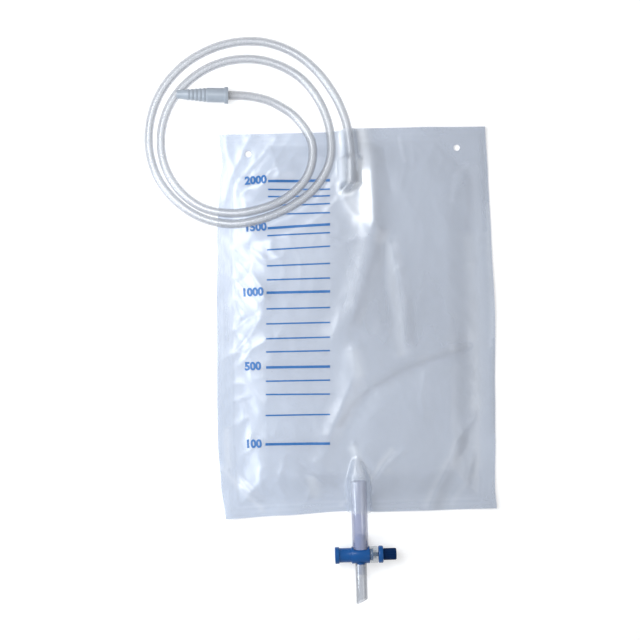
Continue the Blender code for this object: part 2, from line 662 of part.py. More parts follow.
def tap_body(parts, cutters):
    """Barrel, saddle and both nipples in one, bored across for the plunger and along for the flow."""
    surface = material("mid_blue", MID_BLUE, 0.3)
    rim = RIM_DIAMETER / 2
    barrel = BARREL_DIAMETER / 2
    spigot = SPIGOT_DIAMETER / 2
    saddle = SADDLE_DIAMETER / 2
    half = SADDLE_WIDTH / 2
    left = -BARREL_LEFT - RIM_THICKNESS
    right = half + SPIGOT_LENGTH
    chamfer = TAP_CHAMFER
    outside = [(0, right), (spigot, right), (spigot, half), (saddle - SADDLE_CHAMFER, half),
               (saddle, half - SADDLE_CHAMFER), (saddle, SADDLE_CHAMFER - half),
               (saddle - SADDLE_CHAMFER, -half), (barrel, -half), (barrel, -BARREL_LEFT),
               (rim - chamfer, -BARREL_LEFT), (rim, -BARREL_LEFT - chamfer), (rim, left + chamfer),
               (rim - chamfer, left), (0, left)]
    made = turned("tap_body", outside, "X", TAP_CENTRE, surface, parts)

    seat = OUTLET_DIAMETER / 2 + GAP
    recess = [(0, saddle + PAST), (seat, saddle + PAST), (seat, SADDLE_FACE), (0, SADDLE_FACE)]
    cut(made, as_cutter(turned("outlet_seat_cut", recess, "Y", TAP_CENTRE, None, cutters)))

    top_nipple = OUTLET_DIAMETER / 2 - OUTLET_WALL - GAP
    bottom_nipple = SPOUT_DIAMETER / 2 - SPOUT_WALL - GAP
    top = SADDLE_FACE + TOP_NIPPLE_LENGTH
    bottom = -saddle - BOTTOM_NIPPLE_LENGTH
    upright = [(0, top), (top_nipple - chamfer, top), (top_nipple, top - chamfer), (top_nipple, 0),
               (bottom_nipple, 0), (bottom_nipple, bottom + chamfer), (bottom_nipple - chamfer, bottom),
               (0, bottom)]
    blank = as_cutter(turned("nipples_blank", upright, "Y", TAP_CENTRE, None, cutters))
    cut(made, blank, "UNION")

    bore = BARREL_BORE / 2
    across = [(0, right + PAST), (bore, right + PAST), (bore, left - PAST), (0, left - PAST)]
    cut(made, as_cutter(turned("barrel_bore_cut", across, "X", TAP_CENTRE, None, cutters)))
    flow = FLOW_BORE / 2
    along = [(0, top + PAST), (flow, top + PAST), (flow, bottom - PAST), (0, bottom - PAST)]
    cut(made, as_cutter(turned("flow_bore_cut", along, "Y", TAP_CENTRE, None, cutters, steps=20)))
    return made


def tap_collar(parts):
    """The clear cap on the barrel's spigot. Its end wall guides the stem and stops the plunger's stroke."""
    outer = COLLAR_DIAMETER / 2
    start = COLLAR_START
    end = COLLAR_END
    spigot = SPIGOT_DIAMETER / 2 + GAP
    stem_hole = STEM_DIAMETER / 2 + STEM_CLEARANCE
    seat = SADDLE_WIDTH / 2 + SPIGOT_LENGTH + GAP
    corner = COLLAR_ROUND * (1 - math.sqrt(0.5))
    profile = [(stem_hole, end), (outer - COLLAR_ROUND, end), (outer - corner, end - corner),
               (outer, end - COLLAR_ROUND), (outer, start + COLLAR_ROUND), (outer - corner, start + corner),
               (outer - COLLAR_ROUND, start), (spigot, start), (spigot, seat), (BARREL_BORE / 2, seat),
               (BARREL_BORE / 2, end - COLLAR_END_WALL), (stem_hole, end - COLLAR_END_WALL)]
    surface = material("clear_collar", CLEAR_COLLAR, 0.2, 0.5)
    return turned("tap_collar", profile, "X", TAP_CENTRE, surface, parts)


def tap_plunger(parts):
    """Tail, waist, land and stem in one. The land shuts the flow bore at rest, and the waist opens it."""
    lip = BARREL_BORE / 2 - SLIDE_CLEARANCE
    land = LAND_DIAMETER / 2
    waist = WAIST_DIAMETER / 2
    stem = STEM_DIAMETER / 2
    waist_right = -STROKE + WAIST_LENGTH / 2
    waist_left = waist_right - WAIST_LENGTH
    tail_left = waist_left - TAIL_LENGTH
    land_right = COLLAR_END - COLLAR_END_WALL - GAP - STROKE
    stem_right = KNOB_START + KNOB_SOCKET - GAP

    def sealing_lip(left):
        """A rounded rib that rubs along the barrel, standing up from the land."""
        return [(land, left + LIP_THICKNESS), (lip, left + 2 * LIP_THICKNESS / 3),
                (lip, left + LIP_THICKNESS / 3), (land, left)]

    step = LIP_THICKNESS / 2
    profile = [(0, stem_right), (stem, stem_right), (stem, land_right), (land, land_right),
               *sealing_lip(land_right - LIP_THICKNESS - step), *sealing_lip(waist_right + step),
               (land, waist_right), (waist, waist_right), (waist, waist_left), (land, waist_left),
               *sealing_lip(waist_left - LIP_THICKNESS - step), *sealing_lip(tail_left + step),
               (land, tail_left), (0, tail_left)]
    return turned("tap_plunger", profile, "X", TAP_CENTRE, material("navy", NAVY, 0.4), parts, steps=20)


def push_head(parts):
    """The mid blue disc that the fingers pull against, on the stem just outside the collar."""
    profile = ring_profile(HEAD_DIAMETER / 2, STEM_DIAMETER / 2 + STEM_CLEARANCE, COLLAR_END + GAP,
                           COLLAR_END + GAP + HEAD_THICKNESS, HEAD_ROUND)
    return turned("push_head", profile, "X", TAP_CENTRE, material("mid_blue", MID_BLUE, 0.3), parts)


def push_knob(parts, cutters):
    """The ribbed grip on the end of the stem: a scalloped outline drawn along it, with a blind socket."""
    count = KNOB_RIBS * KNOB_POINTS_PER_RIB
    end_scale = 1 - 2 * KNOB_END_CHAMFER / KNOB_DIAMETER
    grip = bmesh.new()
    rings = []
    for height, scale in ((0, 1), (KNOB_LENGTH - KNOB_END_CHAMFER, 1), (KNOB_LENGTH, end_scale)):
        ring = []
        for i in range(count):
            angle = math.tau * i / count
            radius = KNOB_DIAMETER / 2 - KNOB_RIB_DEPTH * (1 - abs(math.cos(angle * KNOB_RIBS / 2)))
            x = scale * radius * math.cos(angle)
            y = scale * radius * math.sin(angle)
            ring.append(grip.verts.new((x, y, height)))
        rings.append(ring)
    for lower, upper in zip(rings, rings[1:]):
        for i in range(count):
            after = (i + 1) % count
            grip.faces.new((lower[i], lower[after], upper[after], upper[i]))
    grip.faces.new(rings[-1])
    grip.faces.new(reversed(rings[0]))
    data = bpy.data.meshes.new("push_knob")
    grip.to_mesh(data)
    grip.free()
    made = add("push_knob", data, material("navy", NAVY, 0.4), parts)
    made.location = Vector(TAP_CENTRE) + Vector((KNOB_START, 0, 0))
    made.rotation_euler = (0, math.pi / 2, 0)
    inner = STEM_DIAMETER / 2 + STEM_CLEARANCE
    socket = [(0, KNOB_START + KNOB_SOCKET), (inner, KNOB_START + KNOB_SOCKET),
              (inner, KNOB_START - PAST), (0, KNOB_START - PAST)]
    cut(made, as_cutter(turned("knob_socket_cut", socket, "X", TAP_CENTRE, None, cutters, steps=20)))
    return made


def build():
    clear_scene()
    parts = new_collection("urine_drainage_bag")
    cutters = new_collection("cutters")
    tube_line = smooth_line(TUBE_ROUTE, TUBE_POINTS)
    back_film(parts)
    front_film(parts, cutters, tube_line)
    inlet_sleeve(parts)
    non_return_valve(parts)
    inlet_tube(parts, tube_line)
    catheter_connector(parts)
    outlet_tube(parts)
    drain_spout(parts, cutters)
    tap_body(parts, cutters)
    tap_collar(parts)
    tap_plunger(parts)
    push_head(parts)
    push_knob(parts, cutters)


build()
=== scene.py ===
import math

import bpy
import numpy as np
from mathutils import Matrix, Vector, noise


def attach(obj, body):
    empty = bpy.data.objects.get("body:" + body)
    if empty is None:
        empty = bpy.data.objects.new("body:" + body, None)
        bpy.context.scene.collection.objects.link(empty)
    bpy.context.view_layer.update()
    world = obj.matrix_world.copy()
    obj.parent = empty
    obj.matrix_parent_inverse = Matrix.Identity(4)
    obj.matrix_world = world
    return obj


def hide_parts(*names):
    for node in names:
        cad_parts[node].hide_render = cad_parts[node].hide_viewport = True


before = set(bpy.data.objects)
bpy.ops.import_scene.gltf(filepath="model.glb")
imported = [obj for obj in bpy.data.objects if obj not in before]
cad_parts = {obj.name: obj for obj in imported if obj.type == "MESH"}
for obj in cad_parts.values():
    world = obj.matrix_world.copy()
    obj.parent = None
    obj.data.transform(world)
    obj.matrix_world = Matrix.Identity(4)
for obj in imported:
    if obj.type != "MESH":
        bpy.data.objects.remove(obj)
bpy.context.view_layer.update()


# The view. The bag lies on a white table, 1.75 degrees off square to a camera straight above it. Soft
# lamps stand on its upper left, low on its left and on its lower right, to draw the folds of the film.
CAMERA_PLACE = (-0.0272, 0.0027, 0.85)
VIEW_WIDTH = 0.4768
PHOTO_ROLL = math.radians(-1.75)

camera_data = bpy.data.cameras.new("camera")
camera_data.lens = camera_data.sensor_width * CAMERA_PLACE[2] / VIEW_WIDTH
camera = bpy.data.objects.new("camera", camera_data)
camera.location = CAMERA_PLACE
camera.rotation_euler = (0, 0, PHOTO_ROLL)
bpy.context.scene.collection.objects.link(camera)
bpy.context.scene.camera = camera
bpy.context.scene.view_settings.view_transform = "Standard"


def soft_lamp(name, place, size, power, color=(1, 1, 1)):
    """A square lamp that faces the middle of the bag."""
    data = bpy.data.lights.new(name, "AREA")
    data.shape = "SQUARE"
    data.size = size
    data.energy = power
    data.color = color
    lamp = bpy.data.objects.new(name, data)
    lamp.location = place
    lamp.rotation_euler = (-Vector(place)).to_track_quat("-Z", "Y").to_euler()
    bpy.context.scene.collection.objects.link(lamp)


soft_lamp("key_lamp", (-0.31, 0.175, 0.53), 0.34, 2.55, (0.93, 0.965, 1.0))
soft_lamp("low_left_lamp", (-0.62, -0.1, 0.34), 0.28, 2.4, (0.84, 0.92, 1.0))
soft_lamp("fill_lamp", (0.55, -0.3, 0.85), 0.45, 0.8)

world = bpy.data.worlds.new("studio")
world.use_nodes = True
bpy.context.scene.world = world


class Wire:
    """What a node gives, for arithmetic: each operator adds a Math node."""

    def __init__(self, nodes, socket):
        self.nodes = nodes
        self.socket = socket

    def math(self, operation, *values):
        return self.nodes.node("ShaderNodeMath", {"operation": operation}, dict(enumerate(values)))

    def __add__(self, other):
        return self.math("ADD", self, other)

    def __sub__(self, other):
        return self.math("SUBTRACT", self, other)

    def __rsub__(self, other):
        return self.math("SUBTRACT", other, self)

    def __mul__(self, other):
        return self.math("MULTIPLY", self, other)

    def __abs__(self):
        return self.math("ABSOLUTE", self)

    def clipped(self):
        return self.math("MINIMUM", self.math("MAXIMUM", self, 0.0), 1.0)

    __radd__ = __add__
    __rmul__ = __mul__


class Nodes:
    """A node tree, and the shader in it that the other nodes feed."""

    def __init__(self, owner, shader):
        self.tree = owner.node_tree
        self.shader = self.tree.nodes[shader]

    def feed(self, key, value, node=None):
        socket = (node or self.shader).inputs[key]
        if isinstance(value, Wire):
            self.tree.links.new(value.socket, socket)
        else:
            socket.default_value = value

    def node(self, kind, settings, sockets, output=0):
        made = self.tree.nodes.new(kind)
        for key, value in settings.items():
            setattr(made, key, value)
        for key, value in sockets.items():
            self.feed(key, value, made)
        return Wire(self, made.outputs[output])

    def mixed(self, share, low, high):
        low, high = (color if isinstance(color, Wire) else (*color, 1) for color in (low, high))
        return self.node("ShaderNodeMix", {"data_type": "RGBA"}, {0: share, 6: low, 7: high}, 2)

    def seen_share(self):
        """1 for rays that show a background to the camera, directly or in gloss or clear plastic."""
        camera_rays, glossy_rays, clear_rays = (
            self.node("ShaderNodeLightPath", {}, {}, output)
            for output in ("Is Camera Ray", "Is Glossy Ray", "Is Transmission Ray"))
        return (camera_rays + glossy_rays + clear_rays).clipped()


class Finish(Nodes):
    """The finish of one kind of piece: a Principled shader and the nodes that feed it."""

    def __init__(self, name, **sockets):
        self.material = bpy.data.materials.new(name)
        self.material.use_nodes = True
        super().__init__(self.material, "Principled BSDF")
        for key, value in sockets.items():
            self.feed(key.replace("_", " "), value)

    def cloud(self, scale, stretch=(1, 1, 1), detail=3.0, turn=0.0):
        """Uneven patches from 0 to 1 in the piece's own space, stretched along its axes."""
        place = self.node("ShaderNodeTexCoord", {}, {}, "Object")
        place = self.node("ShaderNodeMapping", {}, {"Vector": place, "Rotation": (0, 0, turn), "Scale": stretch})
        return self.node("ShaderNodeTexNoise", {}, {"Vector": place, "Scale": scale, "Detail": detail})

    def mark(self, name):
        """What keep_mark has kept at each point of the piece."""
        return self.node("ShaderNodeAttribute", {"attribute_name": name}, {}, "Fac")

    def tint(self, share, low, high):
        self.feed("Base Color", self.mixed(share, low, high))

    def bump(self, height, distance, strength=1.0, **more):
        sockets = {"Height": height, "Distance": distance, "Strength": strength, **more}
        self.feed("Normal", self.node("ShaderNodeBump", {}, sockets))

    def onto(self, piece, shadow=True):
        """Gives the piece this finish. Clear thin plastic throws next to no shadow, so such a piece has none."""
        piece.data.materials.clear()
        piece.data.materials.append(self.material)
        piece.visible_shadow = shadow


WORLD_LIGHT = 0.44
TABLE_GLOW = 0.48
TABLE_SIZE = 6
TABLE_DROP = 0.0004

backdrop = Nodes(world, "Background")
backdrop.feed("Color", backdrop.mixed(backdrop.seen_share(), (WORLD_LIGHT, WORLD_LIGHT, WORLD_LIGHT), (1, 1, 1)))
backdrop.feed("Strength", 1)

finish = Finish("white_table", Roughness=0.6)
table_seen = finish.seen_share()
finish.tint(table_seen, (0.9, 0.9, 0.905), (0.62, 0.62, 0.625))
finish.feed("Emission Color", finish.mixed(table_seen, (0, 0, 0), (1, 1, 1)))
finish.feed("Emission Strength", TABLE_GLOW)
bpy.ops.mesh.primitive_plane_add(size=TABLE_SIZE, location=(0, 0, -TABLE_DROP))
table = bpy.context.object
table.name = "table"
finish.onto(table)


# The drainage tube: 0.92 m of soft clear PVC tube, 6.8 mm outside and 4.6 mm inside. It leaves the sleeve
# in the top weld, rises off the bag and lies in two and a half loops beside and across it.
TUBE_DIAMETER = 0.0068
TUBE_WALL = 0.0011
TENTHS = 10000  # tenths of a millimetre in a metre
TUBE_ROUTE = [[value / TENTHS for value in point] for point in (
    (-5, 1050, 64.5), (-5, 1120, 64.5), (-5, 1190, 64.3), (-11, 1330, 49), (-25, 1440, 38.5), (-49, 1540, 36),
    (-114, 1692, 35), (-243, 1877, 35), (-416, 2020, 35), (-626, 2099, 35), (-851, 2103, 35), (-1067, 2041, 35),
    (-1257, 1922, 35), (-1403, 1750, 35), (-1485, 1542, 35), (-1498, 1317, 35), (-1434, 1103, 35),
    (-1296, 925, 36.5), (-1109, 803, 46), (-889, 757, 58), (-666, 790, 67), (-457, 874, 68), (-277, 1006, 68),
    (-163, 1199, 67), (-156, 1423, 49), (-223, 1638, 35.5), (-354, 1819, 35), (-546, 1936, 35), (-766, 1979, 35),
    (-988, 1944, 35), (-1183, 1835, 35), (-1331, 1666, 35), (-1406, 1454, 35), (-1395, 1229, 35), (-1294, 1030, 37),
    (-1121, 887, 47), (-905, 836, 59), (-680, 863, 67), (-474, 949, 68), (-323, 1113, 68), (-291, 1332, 58),
    (-400, 1526, 40), (-555, 1640, 37), (-680, 1686, 43), (-790, 1703, 52.7), (-890, 1707.7, 62.1),
    (-1024, 1711.9, 74.8),
)]


def smooth_line(points, count):
    """Evenly spaced points on a smooth curve through the given ones."""
    points = [Vector(p) for p in points]
    ends = [points[0] * 2 - points[1], *points, points[-1] * 2 - points[-2]]
    fine = []
    for before, start, end, after in zip(ends, ends[1:], ends[2:], ends[3:]):
        for step in range(16):
            t = step / 16
            fine.append(0.5 * (2 * start + (end - before) * t
                               + (2 * before - 5 * start + 4 * end - after) * t ** 2
                               + (3 * start - before - 3 * end + after) * t ** 3))
    fine.append(points[-1])
    reached = np.cumsum([0.0] + [(b - a).length for a, b in zip(fine, fine[1:])])
    places = np.linspace(0, reached[-1], count)
    columns = [np.interp(places, reached, [p[k] for p in fine]) for k in range(3)]
    return [Vector(p) for p in zip(*columns)]


def select_only(piece):
    bpy.ops.object.select_all(action="DESELECT")
    piece.select_set(True)
    bpy.context.view_layer.objects.active = piece


def modified(piece, kind, **settings):
    """Adds a modifier to the piece and applies it."""
    select_only(piece)
    modifier = piece.modifiers.new(kind.lower(), kind)
    for key, value in settings.items():
        setattr(modifier, key, value)
    bpy.ops.object.modifier_apply(modifier=modifier.name)


tube_line = smooth_line(TUBE_ROUTE, 330)
tube_curve = bpy.data.curves.new("drainage_tube", "CURVE")
tube_curve.dimensions = "3D"
tube_curve.bevel_depth = TUBE_DIAMETER / 2
tube_curve.bevel_resolution = 9
tube_spline = tube_curve.splines.new("POLY")
tube_spline.points.add(len(tube_line) - 1)
for tube_point, tube_place in zip(tube_spline.points, tube_line):
    tube_point.co = (*tube_place, 1)
drainage_tube = bpy.data.objects.new("drainage_tube", tube_curve)
bpy.context.scene.collection.objects.link(drainage_tube)
select_only(drainage_tube)
bpy.ops.object.convert(target="MESH")
outer_count = len(drainage_tube.data.vertices)
modified(drainage_tube, "SOLIDIFY", thickness=TUBE_WALL, offset=-1)
bpy.ops.object.shade_smooth()


def keep_mark(piece, name, values):
    """Keeps a value at each point of the piece, for its finish to read."""
    mark = piece.data.attributes.new(name, "FLOAT", "POINT")
    mark.data.foreach_set("value", values.astype(np.float32))


def wall_depth(piece, outer_radius, wall, aside):
    """Keeps how much wall lies under each place of a lying tube, as a share of the most, at the bore's side."""
    bore = outer_radius - wall
    depth = np.sqrt(np.maximum(outer_radius ** 2 - aside ** 2, 0)) - np.sqrt(np.maximum(bore ** 2 - aside ** 2, 0))
    depth /= math.sqrt(outer_radius ** 2 - bore ** 2)
    keep_mark(piece, "wall_depth", depth)


tube_up = np.array([vertex.normal.z for vertex in drainage_tube.data.vertices])
tube_radii = np.where(np.arange(len(tube_up)) < outer_count, TUBE_DIAMETER / 2, TUBE_DIAMETER / 2 - TUBE_WALL)
wall_depth(drainage_tube, TUBE_DIAMETER / 2, TUBE_WALL, tube_radii * np.sqrt(np.maximum(1 - tube_up ** 2, 0)))
finish = Finish("soft_clear_tube", IOR=1.6, Coat_Weight=1, Coat_IOR=1.9, Coat_Roughness=0.24)
tube_tone = finish.cloud(60)
tube_wall = finish.mark("wall_depth")
# Painted shade: the tube's colour darkens where more wall lies under the view from above, for the dark edges of a
# clear tube.
tube_tone_and_edge_shade = (tube_wall * 1.2 - 0.34 + tube_tone * 0.06).clipped()
finish.tint(tube_tone_and_edge_shade, (0.45, 0.465, 0.5), (0.22, 0.23, 0.26))
finish.feed("Roughness", tube_tone * 0.06 + 0.36)
finish.feed("Alpha", tube_wall * 0.28 + 0.3)
finish.onto(drainage_tube, shadow=False)
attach(drainage_tube, "bag")
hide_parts("inlet_tube")


# The catheter connector on the tube's free end: one moulding in semi-rigid tinted PVC, pushed over the
# tube. A collar stops the fingers, a plain barrel and a ribbed length give the grip, and the nose tapers.
MERGE = 0.000001


def turned_up(name, rings, axis="Z", place=(0, 0, 0), sides=64):
    """Draws a circle out ring by ring, as (radius, place along the axis). A last ring like the first closes it."""
    radius, height = rings[0]
    bpy.ops.mesh.primitive_circle_add(vertices=sides, radius=radius, location=(0, 0, height))
    piece = bpy.context.object
    piece.name = name
    bpy.ops.object.transform_apply(location=True)
    bpy.ops.object.mode_set(mode="EDIT")
    bpy.ops.mesh.select_all(action="SELECT")
    for next_radius, next_height in rings[1:]:
        bpy.ops.mesh.extrude_region_move(TRANSFORM_OT_translate={"value": (0, 0, next_height - height)})
        scale = next_radius / radius
        bpy.ops.transform.resize(value=(scale, scale, 1), center_override=(0, 0, next_height))
        radius, height = next_radius, next_height
    bpy.ops.mesh.select_all(action="SELECT")
    if rings[0] == rings[-1]:
        bpy.ops.mesh.remove_doubles(threshold=MERGE)
    else:
        bpy.ops.mesh.fill_holes(sides=0)
    bpy.ops.mesh.select_all(action="SELECT")
    bpy.ops.mesh.normals_make_consistent(inside=False)
    bpy.ops.object.mode_set(mode="OBJECT")
    piece.rotation_euler = {"X": (0, math.pi / 2, 0), "Y": (-math.pi / 2, 0, 0), "Z": (0, 0, 0)}[axis]
    piece.location = place
    bpy.ops.object.transform_apply(location=True, rotation=True)
    return piece


def smoothed(piece, degrees):
    """Shades the piece smooth, except over edges that are sharper than this."""
    select_only(piece)
    bpy.ops.object.shade_smooth_by_angle(angle=math.radians(degrees))


def rounded(piece, width, segments=3):
    """Breaks the sharp edges of a moulding and smooths its shading."""
    modified(piece, "BEVEL", width=width, segments=segments, limit_method="ANGLE", angle_limit=math.radians(30),
             use_clamp_overlap=True)
    smoothed(piece, 40)


GRIP_COLLAR = (0.0062, 0.0028)
GRIP_BARREL = (0.0053, 0.0155)
RIBBED_END = (0.004, 0.0301)
NOSE_TIP = (0.003, 0.0379)
GRIP_RIBS = 5
GROOVE = 0.00028
SOCKET = (0.00355, 0.0135)
NOSE_BORE = 0.002
CONNECTOR_PLACE = (-0.09, 0.1708, 0.0063)
CONNECTOR_TURN = math.radians(178.2)
CONNECTOR_TILT = math.radians(5.4)

connector_rings = [(SOCKET[0], 0), (GRIP_COLLAR[0], 0), GRIP_COLLAR,
                   (GRIP_BARREL[0], GRIP_COLLAR[1]), (GRIP_BARREL[0], GRIP_BARREL[1])]
rib_length = (RIBBED_END[1] - GRIP_BARREL[1]) / GRIP_RIBS
for rib in range(GRIP_RIBS):
    start = GRIP_BARREL[1] + rib * rib_length
    share = (rib + 1) / GRIP_RIBS
    crest = GRIP_BARREL[0] + (RIBBED_END[0] - GRIP_BARREL[0]) * share
    connector_rings += [(crest - GROOVE, start + 0.15 * rib_length), (crest - GROOVE, start + 0.45 * rib_length),
                        (crest, start + 0.55 * rib_length), (crest, start + 0.95 * rib_length)]
connector_rings += [(RIBBED_END[0] - 0.0003, RIBBED_END[1] + 0.0004), NOSE_TIP,
                    (NOSE_BORE, NOSE_TIP[1]), (NOSE_BORE, SOCKET[1] + 0.001),
                    SOCKET, (SOCKET[0], 0)]
catheter_connector = turned_up("catheter_connector_moulding", connector_rings, "Z", sides=72)
rounded(catheter_connector, 0.00022)
catheter_connector.rotation_euler = (0, math.pi / 2 - CONNECTOR_TILT, CONNECTOR_TURN)
catheter_connector.location = CONNECTOR_PLACE
select_only(catheter_connector)
bpy.ops.object.transform_apply(location=True, rotation=True)

finish = Finish("tinted_connector", IOR=1.5, Alpha=0.93, Coat_Weight=0.3, Coat_Roughness=0.15)
connector_tone = finish.cloud(160, detail=4)
finish.tint(connector_tone, (0.28, 0.32, 0.37), (0.37, 0.41, 0.47))
finish.feed("Roughness", finish.cloud(700) * 0.2 + 0.28)
finish.bump(finish.cloud(2500, detail=2), 0.00003)
finish.onto(catheter_connector)
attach(catheter_connector, "bag")
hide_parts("catheter_connector")


# The back film: a sheet of blue-white PVC, 202 x 284.5 mm, welded to the front film all round. Its two
# top corners are punched for the bed hanger, and its free edges have taken a slight wave.
BAG_WIDTH = 0.202
BAG_LENGTH = 0.2845
FILM = 0.0003
EYELET_DIAMETER = 0.0046
EYELET_SPREAD = 0.1553
EYELET_SHIFT = 0.0008
EYELET_FROM_TOP = 0.0145
# How far the cut edges stray, by place along them, and where they curl up: place, rise and reach, all in tenths
# of a millimetre.
LEFT_DRIFT = ((-1420, -7), (-1170, -36), (-870, -49), (100, -30), (610, -11), (1060, 17), (1210, 46), (1420, 28))
RIGHT_DRIFT = ((-1420, -11), (-1280, -18), (-880, -3), (-570, 4), (20, 21), (600, 11), (1060, 1), (1420, -11))
TOP_DRIFT = ((-1000, 4), (-180, 0), (60, 21), (500, 16), (1000, 5))
BOTTOM_DRIFT = ((-1000, -8), (-580, 5), (-120, 22), (160, 8), (1000, 10))
EDGE_LIFTS = ((-1020, -1440, 26, 200), (1020, 1430, 16, 220), (-1000, 1430, 14, 180), (1020, -1430, 18, 200),
              (1040, 150, 11, 280), (-1040, -400, 14, 300), (-560, -1430, 10, 140), (480, -1430, 11, 160),
              (520, 1440, 10, 180))


def eased(share):
    """A share from 0 to 1 that starts and ends gently."""
    share = np.clip(share, 0.0, 1.0)
    return share * share * (3 - 2 * share)


def drift(pairs, at):
    """The offset at a place along an edge, eased from one given pair to the next."""
    at = at * TENTHS
    offset = np.full_like(at, pairs[0][1])
    for (start, low), (end, high) in zip(pairs, pairs[1:]):
        offset = np.where(at > start, low + (high - low) * eased((at - start) / (end - start)), offset)
    return offset / TENTHS


def laid(x, y):
    """Where a point of the cut rectangle comes to lie."""
    side = np.where(x < 0, drift(LEFT_DRIFT, y), drift(RIGHT_DRIFT, y))
    end = np.where(y < 0, drift(BOTTOM_DRIFT, x), drift(TOP_DRIFT, x))
    return x + side * (np.abs(x) / (BAG_WIDTH / 2)) ** 2, y + end * (np.abs(y) / (BAG_LENGTH / 2)) ** 6


def edge_lift(x, y):
    """How far the free edges and corners have curled up from the table."""
    lift = np.zeros_like(x)
    for at_x, at_y, rise, reach in EDGE_LIFTS:
        lift += rise * np.exp(-((x * TENTHS - at_x) ** 2 + (y * TENTHS - at_y) ** 2) / reach ** 2)
    return lift / TENTHS


def places_of(piece):
    """The piece's points, as rows of x, y and z."""
    places = np.empty(len(piece.data.vertices) * 3)
    piece.data.vertices.foreach_get("co", places)
    return places.reshape(-1, 3)


def joined(piece, other, operation="UNION"):
    """Adds the other shape to the piece or, as a difference, cuts it out."""
    modified(piece, "BOOLEAN", operation=operation, solver="EXACT", object=other)
    bpy.data.objects.remove(other, do_unlink=True)


def film_sheet(name, columns, rows, height_of, **marks):
    """A sheet in a fine grid, raised by height_of, given its thickness and punched for the hanger.

    Each of the marks is kept as an attribute that its finish reads.
    """
    bpy.ops.mesh.primitive_grid_add(x_subdivisions=columns, y_subdivisions=rows, size=1)
    sheet = bpy.context.object
    sheet.name = name
    places = places_of(sheet)
    x = places[:, 0] * BAG_WIDTH
    y = places[:, 1] * BAG_LENGTH
    lying_x, lying_y = laid(x, y)
    sheet.data.vertices.foreach_set("co", np.column_stack((lying_x, lying_y, height_of(x, y))).ravel())
    for mark, value_of in marks.items():
        keep_mark(sheet, mark, value_of(x, y))
    modified(sheet, "SOLIDIFY", thickness=FILM, offset=1, use_even_offset=True)
    for side in (-1, 1):
        eyelet = (EYELET_SHIFT + side * EYELET_SPREAD / 2, BAG_LENGTH / 2 - EYELET_FROM_TOP, 0)
        bpy.ops.mesh.primitive_cylinder_add(vertices=40, radius=EYELET_DIAMETER / 2, depth=0.02, location=eyelet)
        joined(sheet, bpy.context.object, "DIFFERENCE")
    smoothed(sheet, 60)
    return sheet


def crumpled(x, y):
    """Where many small creases stand, as a share: on the left, and a little along the bottom. The films' finishes
    also paint light by it, paler there.
    """
    bottom = 0.3 * eased((-0.105 - y) / 0.025) * eased((0.05 - x) / 0.04)
    return np.minimum(eased((0.02 - x) / 0.115) + bottom, 1)


back_sheet = film_sheet("back_sheet", 84, 116, edge_lift, crumpled=crumpled)
finish = Finish("blue_white_film", IOR=1.5, Coat_Weight=0.3, Coat_Roughness=0.2)
# Painted light: the back film is paler on the left and along the bottom, where the light falls, over its own uneven
# tone.
back_painted_light = finish.mark("crumpled") * 0.75
back_tone_and_light = (finish.cloud(14, stretch=(1, 0.6, 1), detail=4) * 0.5 + back_painted_light).clipped()
finish.tint(back_tone_and_light, (0.485, 0.525, 0.595), (0.6, 0.66, 0.765))
finish.feed("Roughness", finish.cloud(90) * 0.2 + 0.3)
finish.bump(finish.cloud(420, detail=4), 0.00006)
finish.onto(back_sheet)
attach(back_sheet, "bag")
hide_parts("back_film")


# The front film: a sheet of clear PVC welded over the back one. An empty bag stays a little puffed, is
# creased from its wrapper and from the coiled tube, and stands up over the inlet and the outlet tube.
WELD_Z = 0.0006
SIDE_WELD = 0.011
END_WELD = 0.009
CORNER_WELD_LEG = 0.047
FILL_HEIGHT = 0.0062
FILL_RISE = 0.024
FOLD_FADE = 0.01
PRESSED_HEIGHT = 0.002
PRESSED_REACH = 0.0045
PRESSED_FADE = 0.014
TENT_CLEARANCE = 0.0009
TENT_SLOPE = 1.6
TENT_EDGE_SLOPE = 3.5
TENT_EDGE_FADE = 0.012
PLAY = 0.0003  # left between pieces that are bonded or pressed together
INLET_X = -0.0005
INLET_RUN = 0.0234
INLET_DRIFT = 0.0019
SLEEVE_TOP_Y = 0.11885
SLEEVE_BOTTOM_Y = 0.10335
SLEEVE_DIAMETER = 0.0104
SLEEVE_Z = 0.00645
VALVE_WALL = 0.00035
VALVE_LEAN = 0.0058
VALVE_FREE = 0.0097
OUTLET_X = -0.0024
OUTLET_TOP_Y = -0.11725
OUTLET_FALL = 0.034
OUTLET_DIAMETER = 0.0122
OUTLET_Z = 0.0067
RESTING_TOP_Y = 0.157
RESTING_RIGHT_X = -0.0105
RESTING_GAP = 0.02
CRUMPLE_HEIGHT = 0.00018
CRUMPLE_HEIGHT_LEFT = 0.00042
SLACK_CORNER = (0.078, 0.118, 0.045, 0.6)
CREST_ROUND = 0.0007
LEAST_ROOM = 0.0004
